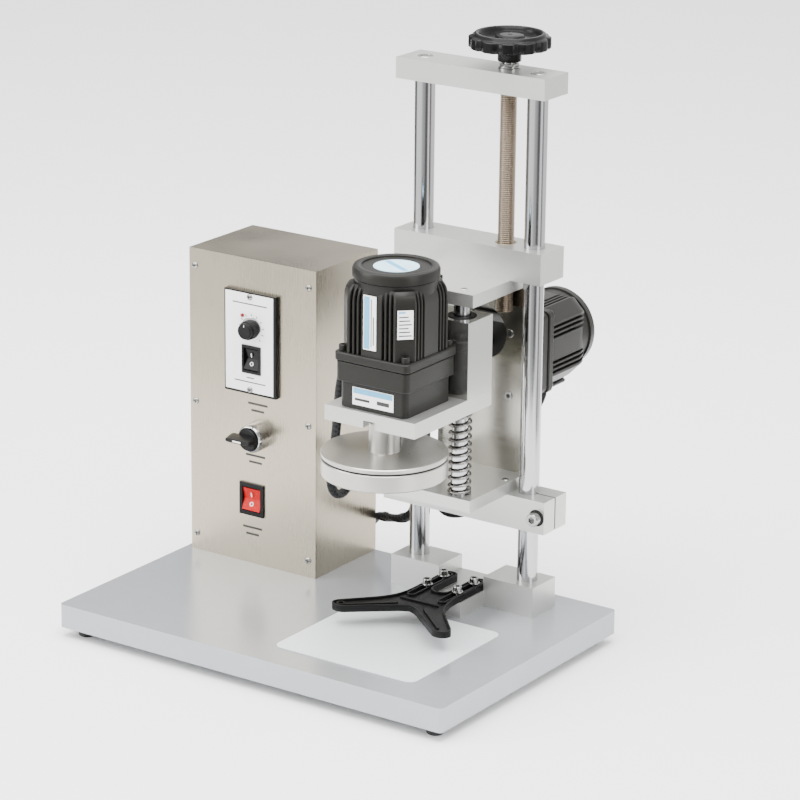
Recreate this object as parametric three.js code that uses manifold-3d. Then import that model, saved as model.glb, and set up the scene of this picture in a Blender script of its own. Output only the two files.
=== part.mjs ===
// Bench-top capping machine, in millimetres. X to the right, Y to the back, Z up.
// The origin is on the table under the middle of the base.
import * as THREE from "three";
import Module from "manifold-3d";
import { mergeVertices } from "three/addons/utils/BufferGeometryUtils.js";

const wasm = await Module();
wasm.setup();

// ---- driving dimensions ----
const BASE_WIDTH = 450;
const BASE_DEPTH = 307;
const BASE_CORNER = 4;
const SHEET = 2;
const BASE_LIP = 34;
const FOOT_HEIGHT = 10;
const BASE_TOP = 34;
const FOOT_X = 206;
const FOOT_Y = 135;
const FOOT_BOTTOM_RADIUS = 8;
const FOOT_TOP_RADIUS = 9.6;
const MAT_WIDTH = 160;
const MAT_DEPTH = 153;
const MAT_X = 90;
const MAT_Y = -43.5;
const MAT_THICKNESS = 1;

const HEAD_X = 88;
const COLUMN_Y = 105;
const COLUMN_OFFSET = 63.5;
const COLUMN_RADIUS = 10;
const SLIDE_FIT = 0.2;
const FIT = 0.3;

const FOOT_BLOCK_WIDTH = 39.4;
const BLOCK_DEPTH = 41;
const FOOT_BLOCK_TOP = 65;
const LOCATOR_TOP = 50;
const LOCATOR_FRONT = 44;
const LOCATOR_HALF = 26;

const BEAM_WIDTH = 167;
const BEAM_BOTTOM = 547;
const BEAM_TOP = 567.5;
const BEARING_RADIUS = 10.5;
const BEARING_HEIGHT = 5.5;

const UPPER_BOTTOM = 369;
const UPPER_TOP = 399.5;
const LOWER_WIDTH = 187;
const LOWER_DEPTH = 40;
const LOWER_BOTTOM = 122;
const LOWER_TOP = 154.8;
const CLAMP_X = 85;
const CLAMP_Z = 138;

const PLATE_WIDTH = 102;
const TOP_PLATE_FRONT = 21.6;
const TOP_PLATE_BOTTOM = 356.4;
const SHELF_FRONT = 19;
const SHELF_TOP = 166.8;
const BACK_PLATE_FRONT = 116.5;
const BACK_PLATE_BACK = 125.5;
const BACK_HOLE_Z = 303;
const BACK_HOLE_RADIUS = 26.7;

const SCREW_X = 119.2;
const SCREW_RADIUS = 8;
const SCREW_END = 332;
const SCREW_NECK = 6;
const NUT_RADIUS = 10;
const NUT_BORE = 8.3;
const WHEEL_RADIUS = 39;
const WHEEL_GRIPS = 12;
const DISH_RADIUS = 28;
const WHEEL_HUB_RADIUS = 11.3;
const WHEEL_HUB_DROP = 13;
const WHEEL_BOTTOM = 588;
const WHEEL_TOP = 602;

const ROD_OFFSET = 30;
const ROD_Y = 33;
const ROD_RADIUS = 8;
const SPRING_RADIUS = 10.3;
const SPRING_WIRE = 1.25;
const SPRING_TURNS = 12.5;
const BUSHING_RADIUS = 14;

const PLATE_FRONT = -75;
const PLATE_BACK = 54;
const PLATE_BOTTOM = 254;
const PLATE_TOP = 269;
const SLIDE_FRONT = 12.3;
const SLIDE_BACK = 53.7;
const SLIDE_TOP = 344;

const GEARBOX_Y = -33;
const GEARBOX_Z = 274.5;
const SHAFT_OFFSET = 16.5;
const SHAFT_RADIUS = 7;
const GEAR_LOWER = 75;
const GEAR_UPPER = 81.5;
const GEAR_STEP = 25.7;
const GEAR_LENGTH = 45;
const FLANGE = 84;
const FLANGE_END = 53.7;
const MOTOR_HALF = 40;
const MOTOR_CORNER = 13;
const GROOVES = [13, 18, 23];
const GROOVE_WIDTH = 2.6;
const GROOVE_DEPTH = 6;
const TERMINAL_HALF = 18;
const TERMINAL_REACH = 51.5;
const TERMINAL_START = 86;
const TERMINAL_END = 116;
const MOTOR_END = 124;
const MOTOR_NECK = 39.4;
const CAP_END = 134.5;
const CAP_RADIUS = 41;

const DISC_RADIUS = 60;
const RING_BOTTOM = 204;
const RING_TOP = 221;
const DISC_BOTTOM = 222.5;
const DISC_TOP = 227;
const HUB_RADIUS = 15.3;
const HUB_TOP = 262;
const RUBBER_RADIUS = 40;

const CRANK_RADIUS = 24;
const CRANK_THROW = 12.5;
const CRANK_FRONT = 70;
const CRANK_BACK = 80;
const ROLLER_RADIUS = 11;
const ROLLER_FRONT = 57;
const LEDGE_CLEARANCE = 3;

const BOX_LEFT = -217.5;
const BOX_RIGHT = -62;
const BOX_FRONT = 48;
const BOX_BACK = 153;
const BOX_TOP = 352.5;
const BOX_SHEET = 1.5;

const UNIT_X = -139;
const UNIT_Z = 267;
const UNIT_WIDTH = 63;
const UNIT_HEIGHT = 105;
const UNIT_FRONT = 43.5;
const UNIT_BACK = 104;
const KNOB_X = -137;
const KNOB_Z = 282.5;
const KNOB_RADIUS = 9.9;
const RATE_SWITCH_Z = 250.7;
const SELECTOR_X = -133;
const SELECTOR_Z = 171;
const POWER_X = -140.2;
const POWER_Z = 102.3;

const FORK_BOTTOM = 50.2;
const FORK_TOP = 57;
const FORK_SLOT_X = 17.8;
const FORK_SCREW_YS = [51.5, 80.7];
const FORK_SLOT_WIDTH = 6.2;
const FORK_SLOT_LENGTH = 70;
const FORK_SLOT_Y = 57;

const LEAD_RADIUS = 4.5;
const TWIN_LEAD_RADIUS = 5.2;
const GLAND_X = -90;
const MAINS_X = -165;
const GLAND_Z = 70;

// ---- colours ----
const finish = (color, roughness, metalness) => ({ color, roughness, metalness });
const SILVER_PAINT = finish(0xb9bcc0, 0.4, 0.5);
const BRUSHED = finish(0xa39b8c, 0.35, 1);
const ALUMINIUM = finish(0xd6d6d4, 0.35, 0.9);
const STEEL = finish(0x9a9a9a, 0.25, 1);
const CHROME = finish(0xd0d0d0, 0.15, 1);
const BRASS = finish(0xb8924c, 0.3, 1);
const MOTOR_BLACK = finish(0x38383a, 0.55, 0.2);
const PLASTIC_BLACK = finish(0x1c1c1e, 0.5, 0);
const RUBBER = finish(0x151515, 0.85, 0);
const MAT_WHITE = finish(0xdfe2e2, 0.6, 0);
const RED = finish(0xc8201c, 0.3, 0);
const NATURAL_RUBBER = finish(0x9c5a3c, 0.8, 0);

const machine = new THREE.Group();
machine.name = "capping_machine";

// ---- shape helpers ----
function solid(geometry) {
  const plain = geometry.clone();
  plain.deleteAttribute("normal");
  plain.deleteAttribute("uv");
  const merged = mergeVertices(plain, 1e-4);
  return new wasm.Manifold(
    new wasm.Mesh({
      numProp: 3,
      vertProperties: Float32Array.from(merged.attributes.position.array),
      triVerts: Uint32Array.from(merged.index.array),
    }),
  );
}

function place(name, shape, look) {
  const geometry = new THREE.BufferGeometry();
  const mesh = shape.getMesh();
  geometry.setAttribute("position", new THREE.BufferAttribute(Float32Array.from(mesh.vertProperties), 3));
  geometry.setIndex(new THREE.BufferAttribute(Uint32Array.from(mesh.triVerts), 1));
  geometry.computeVertexNormals();
  const piece = new THREE.Mesh(geometry, new THREE.MeshStandardMaterial(look));
  piece.name = name;
  machine.add(piece);
}

function block(x0, x1, y0, y1, z0, z1) {
  const geometry = new THREE.BoxGeometry(x1 - x0, y1 - y0, z1 - z0);
  geometry.translate((x0 + x1) / 2, (y0 + y1) / 2, (z0 + z1) / 2);
  return solid(geometry);
}

// A body turned about an upright line through (x, y); rings are [radius, height] pairs.
function turned(rings, x, y, sides = 24) {
  const profile = rings.map(([radius, height]) => new THREE.Vector2(radius, height));
  const geometry = new THREE.LatheGeometry(profile, sides);
  geometry.rotateX(Math.PI / 2);
  geometry.translate(x, y, 0);
  return solid(geometry);
}

function upright(x, y, radius, z0, z1, sides = 24) {
  const geometry = new THREE.CylinderGeometry(radius, radius, z1 - z0, sides);
  geometry.rotateX(Math.PI / 2);
  geometry.translate(x, y, (z0 + z1) / 2);
  return solid(geometry);
}

function level(x, z, radius, y0, y1, sides = 24) {
  const geometry = new THREE.CylinderGeometry(radius, radius, y1 - y0, sides);
  geometry.translate(x, (y0 + y1) / 2, z);
  return solid(geometry);
}

function prism(outline, z0, z1) {
  const shape = new THREE.Shape(outline.map(([x, y]) => new THREE.Vector2(x, y)));
  const geometry = new THREE.ExtrudeGeometry(shape, { depth: z1 - z0, bevelEnabled: false });
  geometry.translate(0, 0, z0);
  return solid(geometry);
}

function roundedOutline(width, depth, radius, steps = 4) {
  const points = [];
  const corners = [[1, -1, -90], [1, 1, 0], [-1, 1, 90], [-1, -1, 180]];
  for (const [sideX, sideY, start] of corners) {
    for (let step = 0; step <= steps; step += 1) {
      const angle = THREE.MathUtils.degToRad(start + (90 * step) / steps);
      points.push([
        sideX * (width / 2 - radius) + radius * Math.cos(angle),
        sideY * (depth / 2 - radius) + radius * Math.sin(angle),
      ]);
    }
  }
  return points;
}

// A round wire or cord through the points, with closed ends.
function cord(points, radius, steps, sides = 8) {
  const path = new THREE.CatmullRomCurve3(points.map((point) => new THREE.Vector3(...point)));
  const ring = [];
  for (let side = 0; side < sides; side += 1) {
    const angle = (2 * Math.PI * side) / sides;
    ring.push(new THREE.Vector2(radius * Math.cos(angle), radius * Math.sin(angle)));
  }
  const options = { steps, extrudePath: path, bevelEnabled: false };
  return solid(new THREE.ExtrudeGeometry(new THREE.Shape(ring), options));
}

// ---- base ----
const basePan = prism(roundedOutline(BASE_WIDTH, BASE_DEPTH, BASE_CORNER), FOOT_HEIGHT, BASE_TOP)
  .subtract(
    prism(
      roundedOutline(BASE_WIDTH - 2 * SHEET, BASE_DEPTH - 2 * SHEET, BASE_CORNER - SHEET),
      FOOT_HEIGHT + SHEET,
      BASE_TOP - SHEET,
    ),
  )
  .subtract(
    prism(
      roundedOutline(BASE_WIDTH - 2 * BASE_LIP, BASE_DEPTH - 2 * BASE_LIP, BASE_CORNER),
      FOOT_HEIGHT - 1,
      FOOT_HEIGHT + SHEET + 1,
    ),
  );
place("base_pan", basePan, SILVER_PAINT);

for (const [name, x, y] of [
  ["foot_front_left", -FOOT_X, -FOOT_Y],
  ["foot_front_right", FOOT_X, -FOOT_Y],
  ["foot_back_left", -FOOT_X, FOOT_Y],
  ["foot_back_right", FOOT_X, FOOT_Y],
]) {
  const rings = [[0, 0], [FOOT_BOTTOM_RADIUS, 0], [FOOT_TOP_RADIUS, FOOT_HEIGHT], [0, FOOT_HEIGHT]];
  const foot = turned(rings, x, y);
  place(name, foot, RUBBER);
}

const matOutline = roundedOutline(MAT_WIDTH, MAT_DEPTH, 3).map(([x, y]) => [x + MAT_X, y + MAT_Y]);
place("work_mat", prism(matOutline, BASE_TOP, BASE_TOP + MAT_THICKNESS), MAT_WHITE);

const columnXs = [HEAD_X - COLUMN_OFFSET, HEAD_X + COLUMN_OFFSET];
const blockFront = COLUMN_Y - BLOCK_DEPTH / 2;
const blockBack = COLUMN_Y + BLOCK_DEPTH / 2;
const footBlockNames = ["foot_block_left", "foot_block_right"];
const columnNames = ["column_left", "column_right"];
columnXs.forEach((x, index) => {
  const half = FOOT_BLOCK_WIDTH / 2;
  const footBlock = block(x - half, x + half, blockFront, blockBack, BASE_TOP, FOOT_BLOCK_TOP)
    .subtract(upright(x, COLUMN_Y, COLUMN_RADIUS + SLIDE_FIT, BASE_TOP + 4, FOOT_BLOCK_TOP + 1));
  place(footBlockNames[index], footBlock, ALUMINIUM);
  place(columnNames[index], upright(x, COLUMN_Y, COLUMN_RADIUS, BASE_TOP + 4, BEAM_BOTTOM), CHROME);
});

const barLeft = columnXs[0] + FOOT_BLOCK_WIDTH / 2;
const barRight = columnXs[1] - FOOT_BLOCK_WIDTH / 2;
const pocketLeft = HEAD_X - LOCATOR_HALF;
const pocketRight = HEAD_X + LOCATOR_HALF;
let locator = block(barLeft, barRight, blockFront, blockBack, BASE_TOP, FOOT_BLOCK_TOP)
  .subtract(block(pocketLeft, pocketRight, blockFront - 1, blockBack + 1, LOCATOR_TOP, FOOT_BLOCK_TOP + 1))
  .add(block(pocketLeft, pocketRight, LOCATOR_FRONT, blockFront + 1, BASE_TOP, LOCATOR_TOP));
for (const side of [-1, 1]) {
  for (const y of FORK_SCREW_YS) {
    const x = HEAD_X + side * FORK_SLOT_X;
    locator = locator.subtract(upright(x, y, 2.8, LOCATOR_TOP - 12, LOCATOR_TOP + 1, 12));
  }
}
place("locator_block", locator, ALUMINIUM);

const beam = block(
  HEAD_X - BEAM_WIDTH / 2,
  HEAD_X + BEAM_WIDTH / 2,
  blockFront,
  blockBack,
  BEAM_BOTTOM,
  BEAM_TOP,
).subtract(upright(SCREW_X, COLUMN_Y, SCREW_RADIUS + SLIDE_FIT + 0.2, BEAM_BOTTOM - 1, BEAM_TOP + 1));
place("top_beam", beam, ALUMINIUM);

const bearing = upright(SCREW_X, COLUMN_Y, BEARING_RADIUS, BEAM_TOP, BEAM_TOP + BEARING_HEIGHT)
  .subtract(upright(SCREW_X, COLUMN_Y, SCREW_NECK + 0.4, BEAM_TOP - 1, BEAM_TOP + BEARING_HEIGHT + 1));
place("screw_bearing", bearing, STEEL);

// ---- lead screw and handwheel ----
const leadScrew = turned(
  [[0, SCREW_END], [SCREW_RADIUS, SCREW_END + 1], [SCREW_RADIUS, BEAM_TOP - FIT],
    [SCREW_NECK, BEAM_TOP - FIT], [SCREW_NECK, WHEEL_BOTTOM + 6], [0, WHEEL_BOTTOM + 6]],
  SCREW_X,
  COLUMN_Y,
);
place("lead_screw", leadScrew, STEEL);

const lobes = [];
for (let step = 0; step < 48; step += 1) {
  const angle = (2 * Math.PI * step) / 48;
  const radius = WHEEL_RADIUS - 1.6 * (1 - Math.abs(Math.cos((WHEEL_GRIPS / 2) * angle)) ** 0.5);
  lobes.push([SCREW_X + radius * Math.cos(angle), COLUMN_Y + radius * Math.sin(angle)]);
}
const wheelHub = turned(
  [[0, WHEEL_BOTTOM - WHEEL_HUB_DROP], [WHEEL_HUB_RADIUS, WHEEL_BOTTOM - WHEEL_HUB_DROP],
    [WHEEL_HUB_RADIUS, WHEEL_TOP - 8], [9, WHEEL_TOP - 3], [0, WHEEL_TOP - 2]],
  SCREW_X,
  COLUMN_Y,
);
const handwheel = prism(lobes, WHEEL_BOTTOM, WHEEL_TOP)
  .subtract(upright(SCREW_X, COLUMN_Y, DISH_RADIUS, WHEEL_TOP - 7, WHEEL_TOP + 1))
  .subtract(
    turned([[0, WHEEL_BOTTOM - 1], [DISH_RADIUS + 3, WHEEL_BOTTOM - 1], [DISH_RADIUS, WHEEL_BOTTOM + 4],
      [0, WHEEL_BOTTOM + 4]], SCREW_X, COLUMN_Y),
  )
  .add(wheelHub)
  .subtract(
    upright(SCREW_X, COLUMN_Y, SCREW_NECK + FIT, WHEEL_BOTTOM - WHEEL_HUB_DROP - 1, WHEEL_BOTTOM + 6.3),
  );
place("handwheel", handwheel, PLASTIC_BLACK);

// ---- carriage ----
let upperHead = block(
  HEAD_X - BEAM_WIDTH / 2,
  HEAD_X + BEAM_WIDTH / 2,
  blockFront,
  blockBack,
  UPPER_BOTTOM,
  UPPER_TOP,
);
let lowerHead = block(
  HEAD_X - LOWER_WIDTH / 2,
  HEAD_X + LOWER_WIDTH / 2,
  COLUMN_Y - LOWER_DEPTH / 2,
  COLUMN_Y + LOWER_DEPTH / 2,
  LOWER_BOTTOM,
  LOWER_TOP,
);
for (const x of columnXs) {
  upperHead = upperHead.subtract(
    upright(x, COLUMN_Y, COLUMN_RADIUS + SLIDE_FIT, UPPER_BOTTOM - 1, UPPER_TOP + 1),
  );
  lowerHead = lowerHead.subtract(
    upright(x, COLUMN_Y, COLUMN_RADIUS + SLIDE_FIT, LOWER_BOTTOM - 1, LOWER_TOP + 1),
  );
}
upperHead = upperHead.subtract(upright(SCREW_X, COLUMN_Y, NUT_RADIUS + FIT, UPPER_BOTTOM - 1, UPPER_TOP + 1));
for (const side of [-1, 1]) {
  const inner = HEAD_X + side * COLUMN_OFFSET;
  const outer = HEAD_X + side * (LOWER_WIDTH / 2 + 1);
  lowerHead = lowerHead
    .subtract(block(Math.min(inner, outer), Math.max(inner, outer), COLUMN_Y - 1, COLUMN_Y + 1,
      LOWER_BOTTOM - 1, LOWER_TOP + 1))
    .subtract(level(HEAD_X + side * CLAMP_X, CLAMP_Z, 4 + FIT, 80, COLUMN_Y + 14, 16));
}
place("upper_crosshead", upperHead, ALUMINIUM);
place("lower_crosshead", lowerHead, ALUMINIUM);

const nut = turned(
  [[NUT_BORE, UPPER_BOTTOM + 1], [NUT_RADIUS, UPPER_BOTTOM + 1], [NUT_RADIUS, UPPER_TOP],
    [NUT_BORE, UPPER_TOP], [NUT_BORE, UPPER_BOTTOM + 1]],
  SCREW_X,
  COLUMN_Y,
);
place("lead_nut", nut, BRASS);

const rodXs = [HEAD_X - ROD_OFFSET, HEAD_X + ROD_OFFSET];
const plateLeft = HEAD_X - PLATE_WIDTH / 2;
const plateRight = HEAD_X + PLATE_WIDTH / 2;
let topPlate = block(plateLeft, plateRight - 1.5, TOP_PLATE_FRONT, BACK_PLATE_BACK,
  TOP_PLATE_BOTTOM, UPPER_BOTTOM)
  .subtract(upright(SCREW_X, COLUMN_Y, 10, TOP_PLATE_BOTTOM - 1, UPPER_BOTTOM + 1));
let shelf = block(plateLeft, plateRight, SHELF_FRONT, BACK_PLATE_BACK, LOWER_TOP, SHELF_TOP);
rodXs.forEach((x) => {
  const bore = ROD_RADIUS + FIT;
  topPlate = topPlate.subtract(upright(x, ROD_Y, bore, TOP_PLATE_BOTTOM - 1, TOP_PLATE_BOTTOM + 6));
  shelf = shelf.subtract(upright(x, ROD_Y, bore, SHELF_TOP - 8, SHELF_TOP + 1));
});
place("top_plate", topPlate, ALUMINIUM);
place("shelf_plate", shelf, ALUMINIUM);

const backPlate = block(plateLeft, plateRight, BACK_PLATE_FRONT, BACK_PLATE_BACK, SHELF_TOP, TOP_PLATE_BOTTOM)
  .subtract(level(HEAD_X, BACK_HOLE_Z, BACK_HOLE_RADIUS, BACK_PLATE_FRONT - 1, BACK_PLATE_BACK + 1, 32));
place("back_plate", backPlate, BRUSHED);

const clampNames = ["clamp_bolt_left", "clamp_bolt_right"];
const rodNames = ["guide_rod_left", "guide_rod_right"];
const springNames = ["spring_left", "spring_right"];
const bushingNames = ["bushing_left", "bushing_right"];
[-1, 1].forEach((side, index) => {
  const front = COLUMN_Y - LOWER_DEPTH / 2;
  const bolt = level(HEAD_X + side * CLAMP_X, CLAMP_Z, 6.5, front - 9, front, 24)
    .add(level(HEAD_X + side * CLAMP_X, CLAMP_Z, 4, front - 1, COLUMN_Y + 13, 24))
    .subtract(level(HEAD_X + side * CLAMP_X, CLAMP_Z, 3.6, front - 10, front - 5, 6));
  place(clampNames[index], bolt, STEEL);
});
rodXs.forEach((x, index) => {
  place(rodNames[index], upright(x, ROD_Y, ROD_RADIUS, SHELF_TOP - 7.5, TOP_PLATE_BOTTOM + 5.5), CHROME);
  const low = SHELF_TOP + SPRING_WIRE + 0.05;
  const high = PLATE_BOTTOM - SPRING_WIRE - 0.05;
  const coil = [];
  const stepsPerTurn = 8;
  const count = SPRING_TURNS * stepsPerTurn;
  for (let step = 0; step <= count; step += 1) {
    const angle = (2 * Math.PI * step) / stepsPerTurn;
    const share = THREE.MathUtils.clamp((step - stepsPerTurn) / (count - 2 * stepsPerTurn), 0, 1);
    const endTurn = Math.min(step, stepsPerTurn) + Math.max(0, step - count + stepsPerTurn);
    const lift = endTurn / stepsPerTurn;
    const rise = 2 * SPRING_WIRE + 0.2;
    const height = low + lift * rise + share * (high - low - 2 * rise);
    coil.push([x + SPRING_RADIUS * Math.cos(angle), ROD_Y + SPRING_RADIUS * Math.sin(angle), height]);
  }
  place(springNames[index], cord(coil, SPRING_WIRE, count, 4), STEEL);
});

// ---- gear motors: built facing down, with the gear face at height 0 and the shaft towards -Y ----
function gearbox() {
  return prism(roundedOutline(GEAR_LOWER, GEAR_LOWER, 6), 0, GEAR_STEP)
    .add(prism(roundedOutline(GEAR_UPPER, GEAR_UPPER, 6), GEAR_STEP, GEAR_LENGTH))
    .subtract(upright(0, -SHAFT_OFFSET, SHAFT_RADIUS + FIT, -1, 14));
}

// A square with flat 45-degree corners, and cooling grooves on both sides of a flat in each face.
function finnedOutline() {
  const points = [];
  const end = MOTOR_HALF - MOTOR_CORNER;
  const middles = [...GROOVES.map((x) => -x).reverse(), ...GROOVES];
  for (let side = 0; side < 4; side += 1) {
    const run = [[-end, -MOTOR_HALF]];
    for (const middle of middles) {
      const left = middle - GROOVE_WIDTH / 2;
      const right = middle + GROOVE_WIDTH / 2;
      run.push([left, -MOTOR_HALF], [left, -MOTOR_HALF + GROOVE_DEPTH]);
      run.push([right, -MOTOR_HALF + GROOVE_DEPTH], [right, -MOTOR_HALF]);
    }
    run.push([end, -MOTOR_HALF]);
    const turn = (side * Math.PI) / 2;
    for (const [x, y] of run) {
      points.push([x * Math.cos(turn) - y * Math.sin(turn), x * Math.sin(turn) + y * Math.cos(turn)]);
    }
  }
  return points;
}

function motorBody() {
  return prism(roundedOutline(FLANGE, FLANGE, 6), GEAR_LENGTH, FLANGE_END)
    .add(prism(finnedOutline(), FLANGE_END - 0.5, MOTOR_END - 6))
    .add(upright(0, 0, MOTOR_NECK, MOTOR_END - 7, MOTOR_END + 1))
    .add(block(-TERMINAL_HALF, TERMINAL_HALF, MOTOR_HALF - 8, TERMINAL_REACH, TERMINAL_START, TERMINAL_END))
    .add(endCap());
}

function endCap() {
  return turned(
    [[0, MOTOR_END], [CAP_RADIUS - 1.5, MOTOR_END], [CAP_RADIUS, MOTOR_END + 1.5], [CAP_RADIUS, CAP_END - 3],
      [CAP_RADIUS - 3, CAP_END], [0, CAP_END]],
    0,
    0,
    32,
  );
}

const towardBack = (shape) => shape.rotate([-90, 0, 0]).translate([HEAD_X, BACK_PLATE_BACK, GEARBOX_Z]);
const facingDown = (shape) => shape.translate([HEAD_X, GEARBOX_Y, PLATE_TOP]);
place("rear_gearbox", towardBack(gearbox()), MOTOR_BLACK);
place("rear_motor", towardBack(motorBody()), MOTOR_BLACK);
place("front_gearbox", facingDown(gearbox()), MOTOR_BLACK);
place("front_motor", facingDown(motorBody()), MOTOR_BLACK);

// ---- press crank behind the slide block ----
const crankZ = GEARBOX_Z + SHAFT_OFFSET;
const pinZ = crankZ + CRANK_THROW;
const crank = level(HEAD_X, crankZ, CRANK_RADIUS, CRANK_FRONT, CRANK_BACK)
  .add(level(HEAD_X, crankZ, SHAFT_RADIUS, CRANK_BACK - 1, BACK_PLATE_BACK + 13))
  .add(level(HEAD_X, pinZ, 6, CRANK_FRONT - 3, CRANK_FRONT + 1))
  .add(level(HEAD_X, pinZ, ROLLER_RADIUS, ROLLER_FRONT, CRANK_FRONT - 2));
place("crank", crank, STEEL);

// ---- capping head ----
const shaftY = GEARBOX_Y - SHAFT_OFFSET;
let slideBlock = block(plateLeft, plateRight, SLIDE_FRONT, SLIDE_BACK, PLATE_TOP, SLIDE_TOP);
let motorPlate = block(plateLeft, plateRight, PLATE_FRONT, PLATE_BACK, PLATE_BOTTOM, PLATE_TOP)
  .subtract(upright(HEAD_X, shaftY, HUB_RADIUS + 1.7, PLATE_BOTTOM - 1, PLATE_TOP + 1))
  .subtract(block(HEAD_X - 7, HEAD_X + 7, PLATE_FRONT - 1, shaftY, PLATE_BOTTOM - 1, PLATE_BOTTOM + 7.3));
rodXs.forEach((x, index) => {
  slideBlock = slideBlock.subtract(upright(x, ROD_Y, BUSHING_RADIUS + FIT, PLATE_TOP - 1, SLIDE_TOP + 1));
  motorPlate = motorPlate.subtract(upright(x, ROD_Y, ROD_RADIUS + 1, PLATE_BOTTOM - 1, PLATE_TOP + 1, 24));
  const bushing = upright(x, ROD_Y, BUSHING_RADIUS, PLATE_TOP, SLIDE_TOP + 0.8)
    .subtract(upright(x, ROD_Y, ROD_RADIUS + SLIDE_FIT, PLATE_TOP - 1, SLIDE_TOP + 2));
  place(bushingNames[index], bushing, PLASTIC_BLACK);
});
place("slide_block", slideBlock, ALUMINIUM);
place("motor_plate", motorPlate, ALUMINIUM);

const ledgeTop = pinZ - ROLLER_RADIUS - LEDGE_CLEARANCE;
const ledge = block(HEAD_X - 14, HEAD_X + 14, SLIDE_BACK, CRANK_FRONT - 2, ledgeTop - 8, ledgeTop);
place("press_ledge", ledge, STEEL);

// ---- turning head ----
const driveDisc = turned(
  [[0, RING_TOP], [57, RING_TOP], [57, DISC_BOTTOM], [DISC_RADIUS, DISC_BOTTOM], [DISC_RADIUS, DISC_TOP - 1],
    [DISC_RADIUS - 1, DISC_TOP], [HUB_RADIUS, DISC_TOP], [HUB_RADIUS, HUB_TOP], [SHAFT_RADIUS, HUB_TOP],
    [SHAFT_RADIUS, PLATE_TOP + 13], [0, PLATE_TOP + 13]],
  HEAD_X,
  shaftY,
  40,
);
place("drive_disc", driveDisc, ALUMINIUM);
const capRing = turned(
  [[RUBBER_RADIUS, RING_BOTTOM], [DISC_RADIUS - 1, RING_BOTTOM], [DISC_RADIUS, RING_BOTTOM + 1],
    [DISC_RADIUS, RING_TOP], [RUBBER_RADIUS, RING_TOP], [RUBBER_RADIUS, RING_BOTTOM]],
  HEAD_X,
  shaftY,
  40,
);
place("cap_ring", capRing, ALUMINIUM);
const rubberEdge = RUBBER_RADIUS - FIT;
const rubberCone = turned(
  [[0, RING_BOTTOM + 10], [19, RING_BOTTOM + 10], [30, RING_BOTTOM + FIT], [rubberEdge, RING_BOTTOM + FIT],
    [rubberEdge, RING_TOP - FIT], [0, RING_TOP - FIT]],
  HEAD_X,
  shaftY,
);
place("cap_rubber", rubberCone, NATURAL_RUBBER);

// ---- control box ----
const innerBack = BOX_BACK - BOX_SHEET;
const boxShell = block(BOX_LEFT, BOX_RIGHT, BOX_FRONT + BOX_SHEET + FIT, BOX_BACK, BASE_TOP, BOX_TOP)
  .subtract(
    block(BOX_LEFT + BOX_SHEET, BOX_RIGHT - BOX_SHEET, BOX_FRONT, innerBack,
      BASE_TOP + BOX_SHEET, BOX_TOP - BOX_SHEET),
  )
  .subtract(level(GLAND_X, GLAND_Z, 6 + FIT, innerBack - 1, BOX_BACK + 1))
  .subtract(level(MAINS_X, GLAND_Z, 6 + FIT, innerBack - 1, BOX_BACK + 1));
place("control_box", boxShell, BRUSHED);

const unitBodyX = UNIT_WIDTH / 2 - 6;
const unitBodyZ = UNIT_HEIGHT / 2 - 12;
const coverBack = BOX_FRONT + BOX_SHEET;
const cover = block(BOX_LEFT, BOX_RIGHT, BOX_FRONT, coverBack, BASE_TOP, BOX_TOP)
  .subtract(
    block(UNIT_X - unitBodyX - FIT, UNIT_X + unitBodyX + FIT, BOX_FRONT - 1, coverBack + 1,
      UNIT_Z - unitBodyZ - FIT, UNIT_Z + unitBodyZ + FIT),
  )
  .subtract(level(SELECTOR_X, SELECTOR_Z, 11 + FIT, BOX_FRONT - 1, coverBack + 1))
  .subtract(block(POWER_X - 13.5, POWER_X + 13.5, BOX_FRONT - 1, coverBack + 1,
    POWER_Z - 14.5, POWER_Z + 14.5));
place("front_cover", cover, BRUSHED);

const speedUnit = block(
  UNIT_X - UNIT_WIDTH / 2,
  UNIT_X + UNIT_WIDTH / 2,
  UNIT_FRONT,
  BOX_FRONT,
  UNIT_Z - UNIT_HEIGHT / 2,
  UNIT_Z + UNIT_HEIGHT / 2,
)
  .add(block(UNIT_X - unitBodyX, UNIT_X + unitBodyX, BOX_FRONT - 1, UNIT_BACK,
    UNIT_Z - unitBodyZ, UNIT_Z + unitBodyZ))
  .add(block(KNOB_X - 11.4, KNOB_X + 11.4, UNIT_FRONT - 1.6, UNIT_FRONT + 1,
    RATE_SWITCH_Z - 14.4, RATE_SWITCH_Z + 14.4))
  .subtract(block(KNOB_X - 9, KNOB_X + 9, UNIT_FRONT - 3, UNIT_FRONT + 9,
    RATE_SWITCH_Z - 11.6, RATE_SWITCH_Z + 11.6))
  .subtract(level(KNOB_X, KNOB_Z, 3 + FIT, UNIT_FRONT - 1, UNIT_FRONT + 9, 16));
place("speed_unit", speedUnit, PLASTIC_BLACK);

const ribs = [];
for (let step = 0; step < 48; step += 1) {
  const angle = (2 * Math.PI * step) / 48;
  const radius = step % 3 === 0 ? KNOB_RADIUS - 0.6 : KNOB_RADIUS;
  ribs.push([radius * Math.cos(angle), radius * Math.sin(angle)]);
}
const knob = prism(ribs, 0.4, 9)
  .add(turned([[0, 8.5], [7.6, 8.5], [7.6, 12.4], [7, 13], [0, 13]], 0, 0, 32))
  .add(upright(0, 0, 3, -8, 1, 16))
  .rotate([90, 0, 0])
  .translate([KNOB_X, UNIT_FRONT, KNOB_Z]);
place("speed_knob", knob, PLASTIC_BLACK);

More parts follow.
